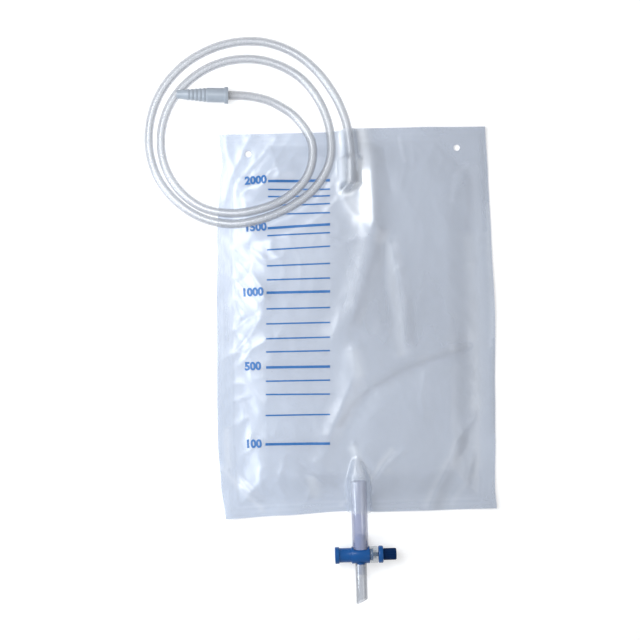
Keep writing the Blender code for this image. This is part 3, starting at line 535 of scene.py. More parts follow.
# Lines read off the photo: x and y of each point, a height, or for the painted light the strength of its light and
# shade in percent, and a half width. All but these strengths are in tenths of a millimetre.
FOLDS = (
    (150, 740, 115, 515, 5, 120, -150, -100, 16, 100), (320, 560, 365, 220, 410, -240, 6, 80),
    (255, 560, 285, 240, 325, -200, -9, 72), (790, -180, 470, -330, 110, -490, -90, -770, -9, 75),
    (-20, -210, -100, -580, -240, -880, -300, -1100, 12, 80), (800, -920, 530, -1340, -6, 85),
    (900, -900, 700, -1300, 6, 70), (-940, -1110, -700, -1350, 13, 65), (-610, 1340, -800, 1140, -900, 900, 14, 65),
    (-480, 1360, -700, 1040, 10, 65), (142, 1390, 145, 1000, 152, 700, 24, 82),
    (660, 1360, 860, 1100, 900, 880, 10, 70), (-860, 550, -700, 200, -780, -200, 10, 80),
    (30, -980, 190, -1160, 10, 60),
)
CREASES = (
    (-744, 1435, -830, 1296, -908, 1165, -960, 943, 10, 30), (-567, 1378, -667, 1247, -760, 1160, 9, 30),
    (-439, 1411, -548, 1265, -672, 1083, 8, 25), (-383, 1298, -498, 1189, -611, 1141, 6, 22),
    (-898, 1030, -840, 976, -748, 1041, 5, 22), (-886, 926, -798, 886, 5, 25),
    (-909, 643, -855, 477, -696, 301, -655, 188, 9, 30), (-917, 382, -830, 305, -774, 207, 6, 24),
    (-882, 568, -795, 498, 5, 20), (-864, 194, -793, 58, -885, -29, 5, 24), (-704, 40, -782, -76, -891, -207, 7, 24),
    (-634, -96, -771, -181, -848, -283, 5, 22), (-917, -564, -796, -523, 4, 22), (-922, -750, -816, -687, 4, 22),
    (-763, 564, -646, 471, -526, 505, 6, 26), (-209, 637, -91, 588, -1, 615, 5, 22),
    (-66, 915, -10, 817, 121, 708, 8, 30), (261, 637, 217, 445, 135, 179, 24, -41, -6, 46),
    (250, 637, 306, 344, 338, -67, 348, -306, 2, 50), (300, -27, 284, -303, 2, 32), (417, 155, 436, -218, -4, 30),
    (490, -384, 462, -577, 473, -696, 5, 22), (-41, -203, -16, -368, -112, -574, -224, -824, 10, 48),
    (800, -213, 537, -303, 311, -378, 54, -497, -68, -598, -4, 42),
    (800, -162, 554, -237, 329, -304, 102, -402, 3, 44), (932, 646, 865, 425, 5, 26),
    (881, 1170, 817, 1052, 738, 891, 6, 26), (238, 1368, 247, 1167, 285, 964, -8, 32),
    (379, 1349, 396, 1162, 353, 977, 5, 24), (454, 1362, 464, 1182, 4, 20), (631, 1289, 688, 1198, 640, 1103, 4, 24),
    (902, -568, 852, -738, 706, -897, 8, 34), (790, -940, 676, -1130, 561, -1306, 506, -1396, -4, 44),
    (843, -1035, 793, -1198, 775, -1324, 4, 26), (543, -1101, 436, -1187, 388, -1290, 3, 26),
    (275, -1093, 361, -1185, 478, -1278, 4, 22), (129, -1237, 162, -1357, 5, 18), (630, -1178, 551, -1317, 6, 20),
    (-991, -1054, -868, -1184, -702, -1346, 10, 26), (-902, -1072, -743, -1240, -613, -1349, -5, 26),
    (-453, -1011, -323, -1126, -190, -1175, -117, -1215, -6, 24), (-558, -1037, -607, -1155, -566, -1283, 5, 22),
    (-457, -1130, -378, -1237, -426, -1354, 6, 22), (-334, -1022, -225, -1115, 5, 20),
    (-298, -1291, -157, -1318, 4, 18), (-55, -896, -28, -1001, -77, -1141, -112, -1319, 9, 20),
    (241, -965, 149, -1066, 63, -1183, -7, 20), (324, -945, 201, -1061, 108, -1177, 6, 20),
    (100, 1425, 137, 1282, 146, 1021, 150, 748, 10, 24),
)
PAINTED_LIGHT_LINES = (
    (-77, 1437, -80, 1214, -80, 1060, 100, 30), (78, 1418, 90, 1290, 96, 1210, 102, 985, 95, 800, 62, 52),
    (58, 1180, 60, 1000, 75, 22), (-108, 1030, -106, 985, -62, 946, -10, 958, 32, 1010, 80, 18),
    (-10, 892, 30, 785, 60, 62), (-56, -933, -28, -1009, -12, -1114, 38, 32),
    (918, 1100, 905, -400, 868, -1080, 10, 58), (202, 684, 136, 462, 62, 226, -20, 5, -42, 34),
    (251, 563, 265, 309, 295, 47, 316, -229, 22, 44), (296, 591, 348, 344, 385, 67, 393, -142, -36, 28),
    (193, 609, 167, 275, 204, 13, -20, 32),
    (824, -200, 553, -274, 327, -356, 100, -483, -53, -606, -140, -752, -38, 24), (976, 1368, 969, 660, -20, 15),
    (1004, -161, 998, -831, -30, 18), (840, 590, 842, -81, 855, -641, 16, 55), (-42, -233, -9, -368, 30, 55),
    (850, 1148, 750, 1054, 738, 891, 7, 22), (990, 846, 993, 212, 988, -198, 22, 22), (357, 1350, 389, 1185, 9, 18),
    (314, 1396, 337, 1201, -12, 15), (-991, -1054, -884, -1191, -747, -1359, 30, 24),
    (-360, -1148, -349, -1252, 35, 45), (227, -957, 142, -1051, 79, -1161, 22, 26),
    (720, -897, 641, -1059, 554, -1220, 482, -1375, 16, 34), (824, -1169, 746, -1271, 669, -1373, 10, 30),
    (-151, -1363, -90, -1312, -86, -1201, 15, 22), (-945, -772, -946, -1040, 40, 24),
    (765, -899, 700, -1076, 628, -1238, 564, -1385, -36, 50), (240, -1002, 163, -1082, 93, -1176, -30, 17),
    (-455, -1055, -308, -1142, -176, -1220, -25, 15),
)


def inside_welds(x, y):
    """How far a place is inside the welds that close the bag, negative on them."""
    side = BAG_WIDTH / 2 - SIDE_WELD - np.abs(x)
    end = BAG_LENGTH / 2 - END_WELD - np.abs(y)
    corner = (BAG_WIDTH / 2 + BAG_LENGTH / 2 - CORNER_WELD_LEG - np.abs(x) - y) / math.sqrt(2)
    return np.minimum(np.minimum(side, end), corner)


def from_edge(x, y):
    """How far a place is from the cut edge."""
    return np.minimum(BAG_WIDTH / 2 - np.abs(x), BAG_LENGTH / 2 - np.abs(y))


def distance_to(points, x, y):
    """How far places are from a line, given as x and y of each of its points in tenths of a millimetre."""
    nearest = np.full_like(x, np.inf)
    points = [value / TENTHS for value in points]
    for start_x, start_y, end_x, end_y in zip(points[::2], points[1::2], points[2::2], points[3::2]):
        run_x, run_y = end_x - start_x, end_y - start_y
        share = np.clip(((x - start_x) * run_x + (y - start_y) * run_y) / (run_x ** 2 + run_y ** 2), 0, 1)
        nearest = np.minimum(nearest, np.hypot(x - start_x - run_x * share, y - start_y - run_y * share))
    return nearest


def soft_bands(rows, whole, x, y):
    """The sum of soft-edged bands along lines. The whole is what a row's height or tone is counted in."""
    total = np.zeros_like(x)
    for *line, strength, half_width in rows:
        total += strength / whole * np.exp(-((distance_to(line, x, y) * TENTHS / half_width) ** 2))
    return total


def tent(across, axis_z, radius, slope):
    """The height of film drawn over a round piece: it follows the round, then falls straight at the slope."""
    leaving = radius * slope / np.hypot(1, slope)
    over = axis_z + np.sqrt(np.maximum(radius ** 2 - across ** 2, 0))
    beside = axis_z + np.sqrt(radius ** 2 - leaving ** 2) - slope * (across - leaving)
    return np.where(across < leaving, over, beside)


def tent_slope(y):
    """How steeply the film falls beside a tube: it is held down close to the tube where it is welded."""
    inside = BAG_LENGTH / 2 - END_WELD - np.abs(y)
    return TENT_EDGE_SLOPE + (TENT_SLOPE - TENT_EDGE_SLOPE) * eased(inside / TENT_EDGE_FADE)


def inlet_tent(x, y):
    """The film over the inlet: narrow over the tube, wider over the sleeve and down to the fill past the valve."""
    widening = eased((SLEEVE_TOP_Y + 0.0055 - y) / 0.004)
    from_sleeve = np.clip((y - SLEEVE_TOP_Y) / INLET_RUN, 0.0, 1.0)
    axis_x = INLET_X - INLET_DRIFT * from_sleeve ** 2 - VALVE_LEAN * eased((SLEEVE_BOTTOM_Y - y) / VALVE_FREE)
    axis_z = SLEEVE_Z + (WELD_Z + TUBE_DIAMETER / 2 - SLEEVE_Z) * from_sleeve
    narrow = TUBE_DIAMETER / 2 + TENT_CLEARANCE
    wide = SLEEVE_DIAMETER / 2 + PLAY + VALVE_WALL + TENT_CLEARANCE
    radius = narrow + (wide - narrow) * widening
    fall = eased((SLEEVE_BOTTOM_Y - y) / 0.018)
    return tent(np.abs(x - axis_x), axis_z, radius, tent_slope(y)) - fall * (axis_z + radius)


def outlet_tent(x, y):
    """The film over the outlet tube, which runs out in a point above its end."""
    above = eased((y - OUTLET_TOP_Y) / OUTLET_FALL)
    radius = (OUTLET_DIAMETER / 2 + TENT_CLEARANCE) * (1 - 0.75 * above)
    axis_x = OUTLET_X - 0.0018 * above
    return tent(np.abs(x - axis_x), OUTLET_Z * (1 - above), radius, tent_slope(y))


def crumple(x, y):
    """Small soft crumples, strongest down the left side, where the film was folded over."""
    made = np.empty_like(x)
    for i, (at_x, at_y) in enumerate(zip(x, y)):
        spot = Vector((at_x * 62 + at_y * 14, at_y * 44 - at_x * 10, 0.0))
        ridge = 1 - 2 * abs(noise.noise(spot))
        made[i] = ridge * ridge + 0.5 * noise.noise(spot * 2.3)
    left = eased((-0.045 - x) / 0.03)
    return made * (CRUMPLE_HEIGHT + CRUMPLE_HEIGHT_LEFT * left)


# Where the coil rests on the film, as runs of x and y in tenths of a millimetre.
resting_runs = [[]]
rest_before = None
for rest_point in smooth_line(TUBE_ROUTE, 78):
    if rest_point.y < RESTING_TOP_Y and -BAG_WIDTH / 2 - 0.01 < rest_point.x < RESTING_RIGHT_X:
        if rest_before and (rest_point - rest_before).length > RESTING_GAP:
            resting_runs.append([])
        resting_runs[-1] += (rest_point.x * TENTHS, rest_point.y * TENTHS)
        rest_before = rest_point


def tents(x, y):
    return np.maximum(inlet_tent(x, y), outlet_tent(x, y))


def over_tube(x, y):
    """Where the film is drawn over the inlet or the outlet, as a share."""
    return eased((tents(x, y) - 0.005) / 0.004)


def film_tones(x, y):
    """Where a highlight is painted on the film, up to 1, and where shade is painted on it, down to -1."""
    return np.clip(soft_bands(PAINTED_LIGHT_LINES, 100, x, y), -1, 1)


def seam_shows(x, y):
    """How plainly the edges of the welds show: they are pressed deepest down the left side."""
    return np.minimum(0.12 + 0.88 * eased((-0.04 - x) / 0.045) + 0.3 * eased((-0.105 - y) / 0.03), 1)


def film_rise(x, y):
    """The height of the front film's underside."""
    inside = inside_welds(x, y)
    fade = eased(inside / FOLD_FADE)
    slack_x, slack_y, slack_reach, slack_share = SLACK_CORNER
    slack = slack_share * np.exp(-((x - slack_x) ** 2 + (y - slack_y) ** 2) / slack_reach ** 2)
    fill = FILL_HEIGHT * (1 - slack) * eased(inside / FILL_RISE) + soft_bands(FOLDS, TENTHS, x, y) * fade
    nearest = np.min([distance_to(run, x, y) for run in resting_runs if len(run) > 2], axis=0)
    pressed = 1 - eased((nearest - PRESSED_REACH) / PRESSED_FADE)
    fill += (np.minimum(PRESSED_HEIGHT * fade, fill) - fill) * pressed
    height = WELD_Z + np.maximum(fill, 0)
    tented = tents(x, y)
    small = crumple(x, y)
    sharpness = 0.75 + 0.7 * crumpled(x, y)
    for *line, rise, half_width in CREASES:
        from_crest = np.hypot(distance_to(line, x, y), CREST_ROUND) - CREST_ROUND
        small += sharpness * rise / TENTHS * np.exp(-from_crest * TENTHS / half_width)
    small *= (0.35 + 0.65 * eased(inside / 0.006)) * (1 - 0.75 * pressed)
    low_room = np.maximum(height - WELD_Z - LEAST_ROOM, 0)
    raised = np.where(tented > height, tented + np.maximum(small, 0), height + np.maximum(small, -low_room))
    return raised + edge_lift(x, y) * (1 - eased(inside / 0.02))


FRONT_GRID = (176, 248)
front_sheet = film_sheet("front_sheet", *FRONT_GRID, film_rise, inside_weld=inside_welds, from_edge=from_edge,
                         over_tube=over_tube, crumpled=crumpled, film_tones=film_tones, seam_shows=seam_shows)
finish = Finish("clear_creased_film", IOR=1.7, Specular_IOR_Level=1, Coat_Weight=0.6, Coat_IOR=1.6,
                Coat_Roughness=0.26)
weld, edge, tube_share, painted_light_share, tones, seam = map(
    finish.mark, ("inside_weld", "from_edge", "over_tube", "crumpled", "film_tones", "seam_shows"))
weld_line = (1 - abs(weld + 0.001) * 600).clipped()
outer_line = (1 - abs(edge - 0.0042) * 500).clipped()
seams = (weld_line + outer_line).clipped() * seam
fused = (weld * -900).clipped()
film_tone = finish.cloud(11, stretch=(1.4, 0.7, 1), detail=4, turn=0.35)
# Painted light: the film is paler on the left and along the bottom, where the light falls, over its own uneven tone
# and its paler welds.
film_tone_and_light = (film_tone * 1.4 - 0.5 + painted_light_share * 0.45 + fused * 0.06 + tube_share * 0.1).clipped()
film_color = finish.mixed(film_tone_and_light, (0.5, 0.54, 0.62), (0.735, 0.8, 0.915))
# Painted highlights turn the film near white and more opaque, and painted shade turns it dark.
white, dark = tones.clipped(), (tones * -1).clipped()
film_color = finish.mixed(white, film_color, (0.91, 0.94, 0.99))
finish.tint(dark, film_color, (0.26, 0.28, 0.33))
finish.feed("Roughness", finish.cloud(45, detail=4) * 0.2 + 0.22)
film_alpha = film_tone * 0.12 + 0.3 - tube_share * 0.16 - fused * 0.02 + seams * 0.07 + white * 0.36 + dark * 0.25
finish.feed("Alpha", film_alpha)
ripple = finish.cloud(230, stretch=(1, 0.55, 1), detail=5, turn=0.5) + finish.cloud(60, detail=2) * 1.5
finish.bump(ripple + seams * 0.35, 0.00018, 0.6)
finish.onto(front_sheet)
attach(front_sheet, "bag")
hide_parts("front_film")


# The printed scale: dark blue ink on the outside of the front film, with a heavy line and a number at
# each 500 ml and at 100 ml, and a fine line at each 100 ml between them.
INK = 0.00004
INK_LIFT = 0.00008
HEAVY = 0.0019
FINE = 0.0011
SCALE_LINES = (  # from left x and y to right x and y in tenths of a millimetre, and the line's width
    (-624, 1064, -166, 1062, HEAVY), (-627, 1005, -168, 995, FINE), (-630, 954, -170, 945, FINE),
    (-633, 890, -172, 885, FINE), (-636, 825, -174, 817, FINE), (-640, 719, -176, 731, HEAVY),
    (-643, 662, -178, 670, FINE), (-647, 557, -181, 570, FINE), (-652, 438, -185, 443, FINE),
    (-656, 335, -188, 335, FINE), (-660, 240, -191, 236, HEAVY), (-664, 121, -195, 117, FINE),
    (-669, 10, -198, 7, FINE), (-673, -99, -202, -102, FINE), (-677, -197, -205, -201, FINE),
    (-681, -311, -208, -319, HEAVY), (-685, -413, -211, -419, FINE), (-689, -511, -215, -522, FINE),
    (-695, -666, -219, -672, FINE), (-703, -879, -226, -886, HEAVY),
)
SCALE_NUMBERS = (("2000", -0.0717, 0.1075), ("1500", -0.073, 0.0729), ("1000", -0.0765, 0.0246),
                 ("500", -0.078, -0.0302), ("100", -0.0793, -0.0877))
NUMBER_HEIGHT = 0.0082
NUMBER_STROKE = 0.00038
NUMBER_TURN = -PHOTO_ROLL * 0.6


def unlaid(x, y):
    """The point of the cut rectangle that comes to lie at a place."""
    flat_x, flat_y = x, y
    for _ in range(4):
        now_x, now_y = laid(flat_x, flat_y)
        flat_x, flat_y = flat_x + x - now_x, flat_y + y - now_y
    return flat_x, flat_y


def onto_film(piece):
    """Lays a flat print on the outside of the front film, on the flat facets between its grid points."""
    places = places_of(piece)
    columns, rows = FRONT_GRID
    across = np.linspace(-BAG_WIDTH / 2, BAG_WIDTH / 2, columns + 1)
    along = np.linspace(-BAG_LENGTH / 2, BAG_LENGTH / 2, rows + 1)
    grid_x, grid_y = (values.ravel() for values in np.meshgrid(across, along))
    rise = film_rise(grid_x, grid_y).reshape(rows + 1, columns + 1)
    slope_y, slope_x = np.gradient(rise, along, across)
    rise = rise + FILM * np.sqrt(1 + slope_x ** 2 + slope_y ** 2)
    flat_x, flat_y = unlaid(places[:, 0], places[:, 1])
    i = np.clip((flat_x + BAG_WIDTH / 2) / BAG_WIDTH * columns, 0, columns - 0.001)
    j = np.clip((flat_y + BAG_LENGTH / 2) / BAG_LENGTH * rows, 0, rows - 0.001)
    left, low = i.astype(int), j.astype(int)
    share_x, share_y = i - left, j - low
    near = rise[low, left] * (1 - share_x) + rise[low, left + 1] * share_x
    far = rise[low + 1, left] * (1 - share_x) + rise[low + 1, left + 1] * share_x
    places[:, 2] += near * (1 - share_y) + far * share_y + INK_LIFT
    piece.data.vertices.foreach_set("co", places.ravel())
    piece.data.update()


prints = []
for *ends, line_width in SCALE_LINES:
    left_x, left_y, right_x, right_y = (end / TENTHS for end in ends)
    run = math.hypot(right_x - left_x, right_y - left_y)
    bpy.ops.mesh.primitive_grid_add(x_subdivisions=46, y_subdivisions=2, size=1,
                                    location=((left_x + right_x) / 2, (left_y + right_y) / 2, 0),
                                    rotation=(0, 0, math.atan2(right_y - left_y, right_x - left_x)))
    scale_line = bpy.context.object
    scale_line.scale = (run, line_width, 1)
    bpy.ops.object.transform_apply(location=True, rotation=True, scale=True)
    modified(scale_line, "SOLIDIFY", thickness=INK, offset=1)
    prints.append(scale_line)
for number, at_x, at_y in SCALE_NUMBERS:
    bpy.ops.object.text_add(location=(at_x, at_y, 0), rotation=(0, 0, NUMBER_TURN))
    prints.append(bpy.context.object)
    text = bpy.context.object.data
    text.body = number
    text.size = NUMBER_HEIGHT
    text.align_x = text.align_y = "CENTER"
    text.offset = NUMBER_STROKE
    text.extrude = INK / 2
    text.resolution_u = 4
    bpy.ops.object.convert(target="MESH")
    bpy.ops.object.transform_apply(location=True, rotation=True, scale=True)
    bpy.ops.object.mode_set(mode="EDIT")
    bpy.ops.mesh.select_all(action="SELECT")
    bpy.ops.mesh.remove_doubles(threshold=MERGE)
    bpy.ops.mesh.subdivide(number_cuts=4)
    bpy.ops.object.mode_set(mode="OBJECT")
bpy.ops.object.select_all(action="DESELECT")
for printed in prints:
    printed.select_set(True)
bpy.context.view_layer.objects.active = prints[0]
bpy.ops.object.join()
scale_print = bpy.context.object
scale_print.name = "scale_print"
onto_film(scale_print)

finish = Finish("blue_ink", Roughness=0.35)
ink_wear = finish.cloud(500, detail=4)
finish.tint(ink_wear, (0.012, 0.1, 0.31), (0.03, 0.15, 0.4))
finish.feed("Roughness", ink_wear * 0.3 + 0.25)
finish.onto(scale_print)
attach(scale_print, "bag")


# The inlet: a soft PVC sleeve bonded round the end of the drainage tube, with a flat-lipped valve of thin
# film welded round its lower half. The film of the bag is drawn over both.
sleeve_outer = SLEEVE_DIAMETER / 2
sleeve_inner = TUBE_DIAMETER / 2 + PLAY
sleeve_middle = (sleeve_outer + sleeve_inner) / 2
sleeve_lip = (sleeve_outer - sleeve_inner) / 2
sleeve_rings = [(sleeve_inner, SLEEVE_TOP_Y), (sleeve_outer - 0.0002, SLEEVE_TOP_Y),
                (sleeve_outer, SLEEVE_TOP_Y - 0.0003)]
for turn in range(7):
    angle = math.pi * turn / 6
    sleeve_rings.append((sleeve_middle + sleeve_lip * math.cos(angle),
                         SLEEVE_BOTTOM_Y + 0.0012 - 0.0012 * math.sin(angle)))
sleeve_rings.append(sleeve_rings[0])
inlet_sleeve = turned_up("inlet_sleeve_ring", sleeve_rings, "Y", (INLET_X, 0, SLEEVE_Z), sides=56)
smoothed(inlet_sleeve, 40)

finish = Finish("soft_clear_sleeve", IOR=1.5, Specular_IOR_Level=0.9, Coat_Weight=0.6, Alpha=0.1)
finish.tint(finish.cloud(180), (0.66, 0.7, 0.78), (0.78, 0.82, 0.9))
finish.feed("Roughness", finish.cloud(500) * 0.2 + 0.15)
finish.bump(finish.cloud(1500, detail=2), 0.00003)
finish.onto(inlet_sleeve, shadow=False)
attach(inlet_sleeve, "bag")
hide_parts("inlet_sleeve")

VALVE_SECTIONS = 26
VALVE_SIDES = 48
VALVE_TOP_Y = SLEEVE_BOTTOM_Y + 0.0085
VALVE_LENGTH = 0.0182
VALVE_LIP_WIDTH = 0.016
VALVE_LIP_OPENING = 0.0009
VALVE_LIP_CURVE = 0.0085
VALVE_TUCK = 0.14
bpy.ops.mesh.primitive_circle_add(vertices=VALVE_SIDES, radius=1, location=(0, 0, 0))
valve = bpy.context.object
valve.name = "valve_film"
bpy.ops.object.mode_set(mode="EDIT")
bpy.ops.mesh.select_all(action="SELECT")
for _ in range(VALVE_SECTIONS):
    bpy.ops.mesh.extrude_region_move(TRANSFORM_OT_translate={"value": (0, 0, 1)})
bpy.ops.object.mode_set(mode="OBJECT")
valve_round = SLEEVE_DIAMETER / 2 + PLAY
valve_shares = []
for vertex in valve.data.vertices:
    share = vertex.co.z / VALVE_SECTIONS
    at_y = VALVE_TOP_Y - VALVE_LENGTH * share
    flat = float(eased((SLEEVE_BOTTOM_Y - at_y) / VALVE_FREE))
    tuck = VALVE_TUCK * float(eased((share - 0.88) / 0.12))
    half_width = (valve_round + (VALVE_LIP_WIDTH / 2 - valve_round) * flat) * (1 - tuck)
    half_height = valve_round + (VALVE_LIP_OPENING / 2 - valve_round) * flat
    at_x = INLET_X - VALVE_LEAN * flat + half_width * vertex.co.x
    at_z = SLEEVE_Z + (WELD_Z + VALVE_WALL + VALVE_LIP_OPENING / 2 - SLEEVE_Z) * flat + half_height * vertex.co.y
    lip_curve = VALVE_LIP_CURVE * vertex.co.x ** 2 * float(eased((share - 0.55) / 0.45))
    valve_shares.append(share)
    vertex.co = (at_x, at_y + lip_curve, at_z)
keep_mark(valve, "lip", eased((np.array(valve_shares) - 0.86) / 0.08))
modified(valve, "SOLIDIFY", thickness=VALVE_WALL, offset=1)
bpy.ops.object.mode_set(mode="EDIT")
bpy.ops.mesh.select_all(action="SELECT")
bpy.ops.mesh.normals_make_consistent(inside=False)
bpy.ops.object.mode_set(mode="OBJECT")
smoothed(valve, 50)
finish = Finish("valve_film_clear", IOR=1.5, Specular_IOR_Level=1, Coat_Weight=0.8)
valve_edge = finish.cloud(220, stretch=(1, 0.3, 1))
valve_lip = finish.mark("lip")
valve_pale = (valve_edge * 0.4 + valve_lip).clipped()
finish.tint(valve_pale, (0.6, 0.65, 0.73), (0.95, 0.97, 1.0))
finish.feed("Roughness", valve_edge * 0.2 + 0.1)
finish.feed("Alpha", valve_edge * 0.08 + 0.05 + valve_lip * 0.75)
finish.onto(valve, shadow=False)
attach(valve, "bag")
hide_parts("non_return_valve")


# The outlet tube: a short length of lilac-tinted PVC tube, 12.2 mm outside, welded into the bottom of the
# bag. The top nipple of the tap is pushed into its free end.
OUTLET_WALL = 0.0016
OUTLET_BOTTOM_Y = -0.16715


def round_band(radius, low, high, edge, share=0.3):
    """The outline of a cylinder whose corners are rounded over by the edge."""
    cut = share * edge
    return [(radius - edge, low), (radius - cut, low + cut), (radius, low + edge),
            (radius, high - edge), (radius - cut, high - cut), (radius - edge, high)]


def tube_rings(outer, wall, low, high, edge):
    """A plain length of tube, with its outer corners rounded over by the edge."""
    inner = outer - wall
    return [(inner, low), *round_band(outer, low, high, edge), (inner, high), (inner, low)]


outlet_rings = tube_rings(OUTLET_DIAMETER / 2, OUTLET_WALL, OUTLET_BOTTOM_Y, OUTLET_TOP_Y, 0.0004)
outlet_tube = turned_up("outlet_tube_lilac", outlet_rings, "Y", (OUTLET_X, 0, OUTLET_Z), sides=72)
smoothed(outlet_tube, 40)
wall_depth(outlet_tube, OUTLET_DIAMETER / 2, OUTLET_WALL, np.abs(places_of(outlet_tube)[:, 0] - OUTLET_X))
finish = Finish("lilac_tube", IOR=1.6, Coat_Weight=1, Coat_IOR=2.3, Coat_Roughness=0.1)
outlet_wall = finish.mark("wall_depth")
outlet_tone = finish.cloud(70, stretch=(1, 0.3, 1))
# Painted shade: the tube's colour darkens where more wall lies under the view from above, for the dark edges of a
# clear tube, over its uneven tint.
outlet_tone_and_edge_shade = (outlet_wall - 0.4 + outlet_tone * 0.5).clipped()
finish.tint(outlet_tone_and_edge_shade, (0.265, 0.31, 0.5), (0.1, 0.11, 0.22))
finish.feed("Roughness", finish.cloud(400) * 0.15 + 0.14)
finish.feed("Alpha", outlet_wall * 0.25 + 0.42)
finish.onto(outlet_tube, shadow=False)
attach(outlet_tube, "bag")
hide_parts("outlet_tube")


# The tap body: a cross moulded in glossy mid blue plastic. The barrel is bored for the plunger, and its
# thicker middle has a round seat and a nipple for the outlet tube, and a nipple for the drain spout below.
TAP_CENTRE = (OUTLET_X, -0.17165, OUTLET_Z)
BARREL = 0.0053
BARREL_LEFT = -0.0158
BARREL_BORE = 0.00315
RIM = 0.00615
RIM_LEFT = -0.019
SPIGOT = 0.0042
SPIGOT_END = 0.0091
SADDLE = 0.0063
SADDLE_HALF = 0.0067
SADDLE_FACE = 0.0042
TOP_NIPPLE = (0.0042, 0.0147)
BOTTOM_NIPPLE = (0.00295, 0.0143)
FLOW_BORE = 0.0022


tap_body = turned_up("tap_body_moulding", [
    (RIM - 0.0004, RIM_LEFT), (RIM, RIM_LEFT + 0.0004), (RIM, BARREL_LEFT - 0.0004), (RIM - 0.0004, BARREL_LEFT),
    (BARREL + 0.0004, BARREL_LEFT), (BARREL + 0.0001, BARREL_LEFT + 0.0001), (BARREL, BARREL_LEFT + 0.0004),
    (BARREL, -SADDLE_HALF - 0.0004), (BARREL + 0.0001, -SADDLE_HALF - 0.0001), (BARREL + 0.0004, -SADDLE_HALF),
    *round_band(SADDLE, -SADDLE_HALF, SADDLE_HALF, 0.0005),
    (SPIGOT, SADDLE_HALF), (SPIGOT, SPIGOT_END - 0.0003), (SPIGOT - 0.0003, SPIGOT_END),
], "X", TAP_CENTRE, sides=96)
seat = OUTLET_DIAMETER / 2 + PLAY
outlet_seat = turned_up("outlet_seat", [(seat, SADDLE_FACE), (seat, SADDLE + 0.001)], "Y", TAP_CENTRE, sides=96)
joined(tap_body, outlet_seat, "DIFFERENCE")
nipples = turned_up("nipples", [
    (BOTTOM_NIPPLE[0] - 0.0004, -BOTTOM_NIPPLE[1]), (BOTTOM_NIPPLE[0], 0.0004 - BOTTOM_NIPPLE[1]),
    (BOTTOM_NIPPLE[0], 0), (TOP_NIPPLE[0], 0), (TOP_NIPPLE[0], TOP_NIPPLE[1] - 0.0005),
    (TOP_NIPPLE[0] - 0.0005, TOP_NIPPLE[1]),
], "Y", TAP_CENTRE)
joined(tap_body, nipples)
barrel_bore = turned_up("barrel_bore", [
    (BARREL_BORE + 0.0012, RIM_LEFT - 0.001), (BARREL_BORE, RIM_LEFT + 0.0004), (BARREL_BORE, SPIGOT_END + 0.001),
], "X", TAP_CENTRE)
joined(tap_body, barrel_bore, "DIFFERENCE")
flow_bore = turned_up("flow_bore", [(FLOW_BORE, -0.02), (FLOW_BORE, 0.02)], "Y", TAP_CENTRE, sides=40)
joined(tap_body, flow_bore, "DIFFERENCE")
smoothed(tap_body, 35)


def moulded(name, dark, light, roughness, coat=0.4, gloss=0.22):
    """Moulded plastic: slightly uneven in colour and gloss, with a fine moulded grain and softened edges."""
    finish = Finish(name, IOR=1.45, Specular_IOR_Level=gloss, Coat_Weight=coat, Coat_Roughness=0.15)
    tone = finish.cloud(220, detail=4)
    finish.tint(tone, dark, light)
    finish.feed("Roughness", finish.cloud(900) * 0.16 + roughness)
    soft_edge = finish.node("ShaderNodeBevel", {"samples": 4}, {"Radius": 0.00025})
    finish.bump(finish.cloud(3500, detail=2), 0.00002, 0.5, Normal=soft_edge)
    return finish


blue_finish = moulded("mid_blue_moulding", (0, 0.058, 0.225), (0, 0.082, 0.285), 0.28, 0.22)
blue_finish.onto(tap_body)
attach(tap_body, "bag")
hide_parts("tap_body")


# The end collar: a clear cap snapped on the barrel's spigot. Its end wall guides the plunger's stem, which
# shows through it, and stops the plunger when the tap is pulled open.
COLLAR = 0.0063
COLLAR_START = 0.007
COLLAR_END = 0.0128
STEM_HOLE = 0.0017
tap_collar = turned_up("tap_collar_clear", [
    (SPIGOT + PLAY, COLLAR_START), *round_band(COLLAR, COLLAR_START, COLLAR_END, 0.0005),
    (STEM_HOLE, COLLAR_END), (STEM_HOLE, COLLAR_END - 0.001),
    (BARREL_BORE, COLLAR_END - 0.001), (BARREL_BORE, SPIGOT_END + PLAY),
    (SPIGOT + PLAY, SPIGOT_END + PLAY), (SPIGOT + PLAY, COLLAR_START),
], "X", TAP_CENTRE)
smoothed(tap_collar, 35)
finish = Finish("clear_moulding", IOR=1.5, Specular_IOR_Level=0.8, Coat_Weight=0.5, Coat_Roughness=0.1)
collar_tone = finish.cloud(260, detail=3)
finish.tint(collar_tone, (0.19, 0.27, 0.37), (0.3, 0.38, 0.47))
finish.feed("Roughness", collar_tone * 0.15 + 0.12)
finish.feed("Alpha", collar_tone * 0.12 + 0.2)
finish.onto(tap_collar)
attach(tap_collar, "bag")
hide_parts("tap_collar")


# The plunger: one dark navy moulding that slides in the barrel. At rest its broad land shuts the flow bore;
# pulled out, its waist stands in the bore and opens it. Four moulded lips seal it on both sides.
STROKE = 0.0058
WAIST_RIGHT = -STROKE + 0.0026
WAIST_LEFT = WAIST_RIGHT - 0.0052
TAIL_LEFT = WAIST_LEFT - 0.006
LAND_RIGHT = COLLAR_END - 0.0013 - STROKE
HEAD_START = COLLAR_END + PLAY
HEAD_END = HEAD_START + 0.0035
KNOB_START = HEAD_END + PLAY
STEM_END = KNOB_START + 0.0067
LAND = 0.0028
LIP = 0.00305
STEM = 0.0015
WAIST = 0.0013


def lip_rings(left):
    """A rounded sealing lip round the plunger's land."""
    return [(LAND, left), (LIP - 0.00008, left + 0.0002), (LIP, left + 0.00045), (LIP - 0.00008, left + 0.0007),
            (LAND, left + 0.0009)]


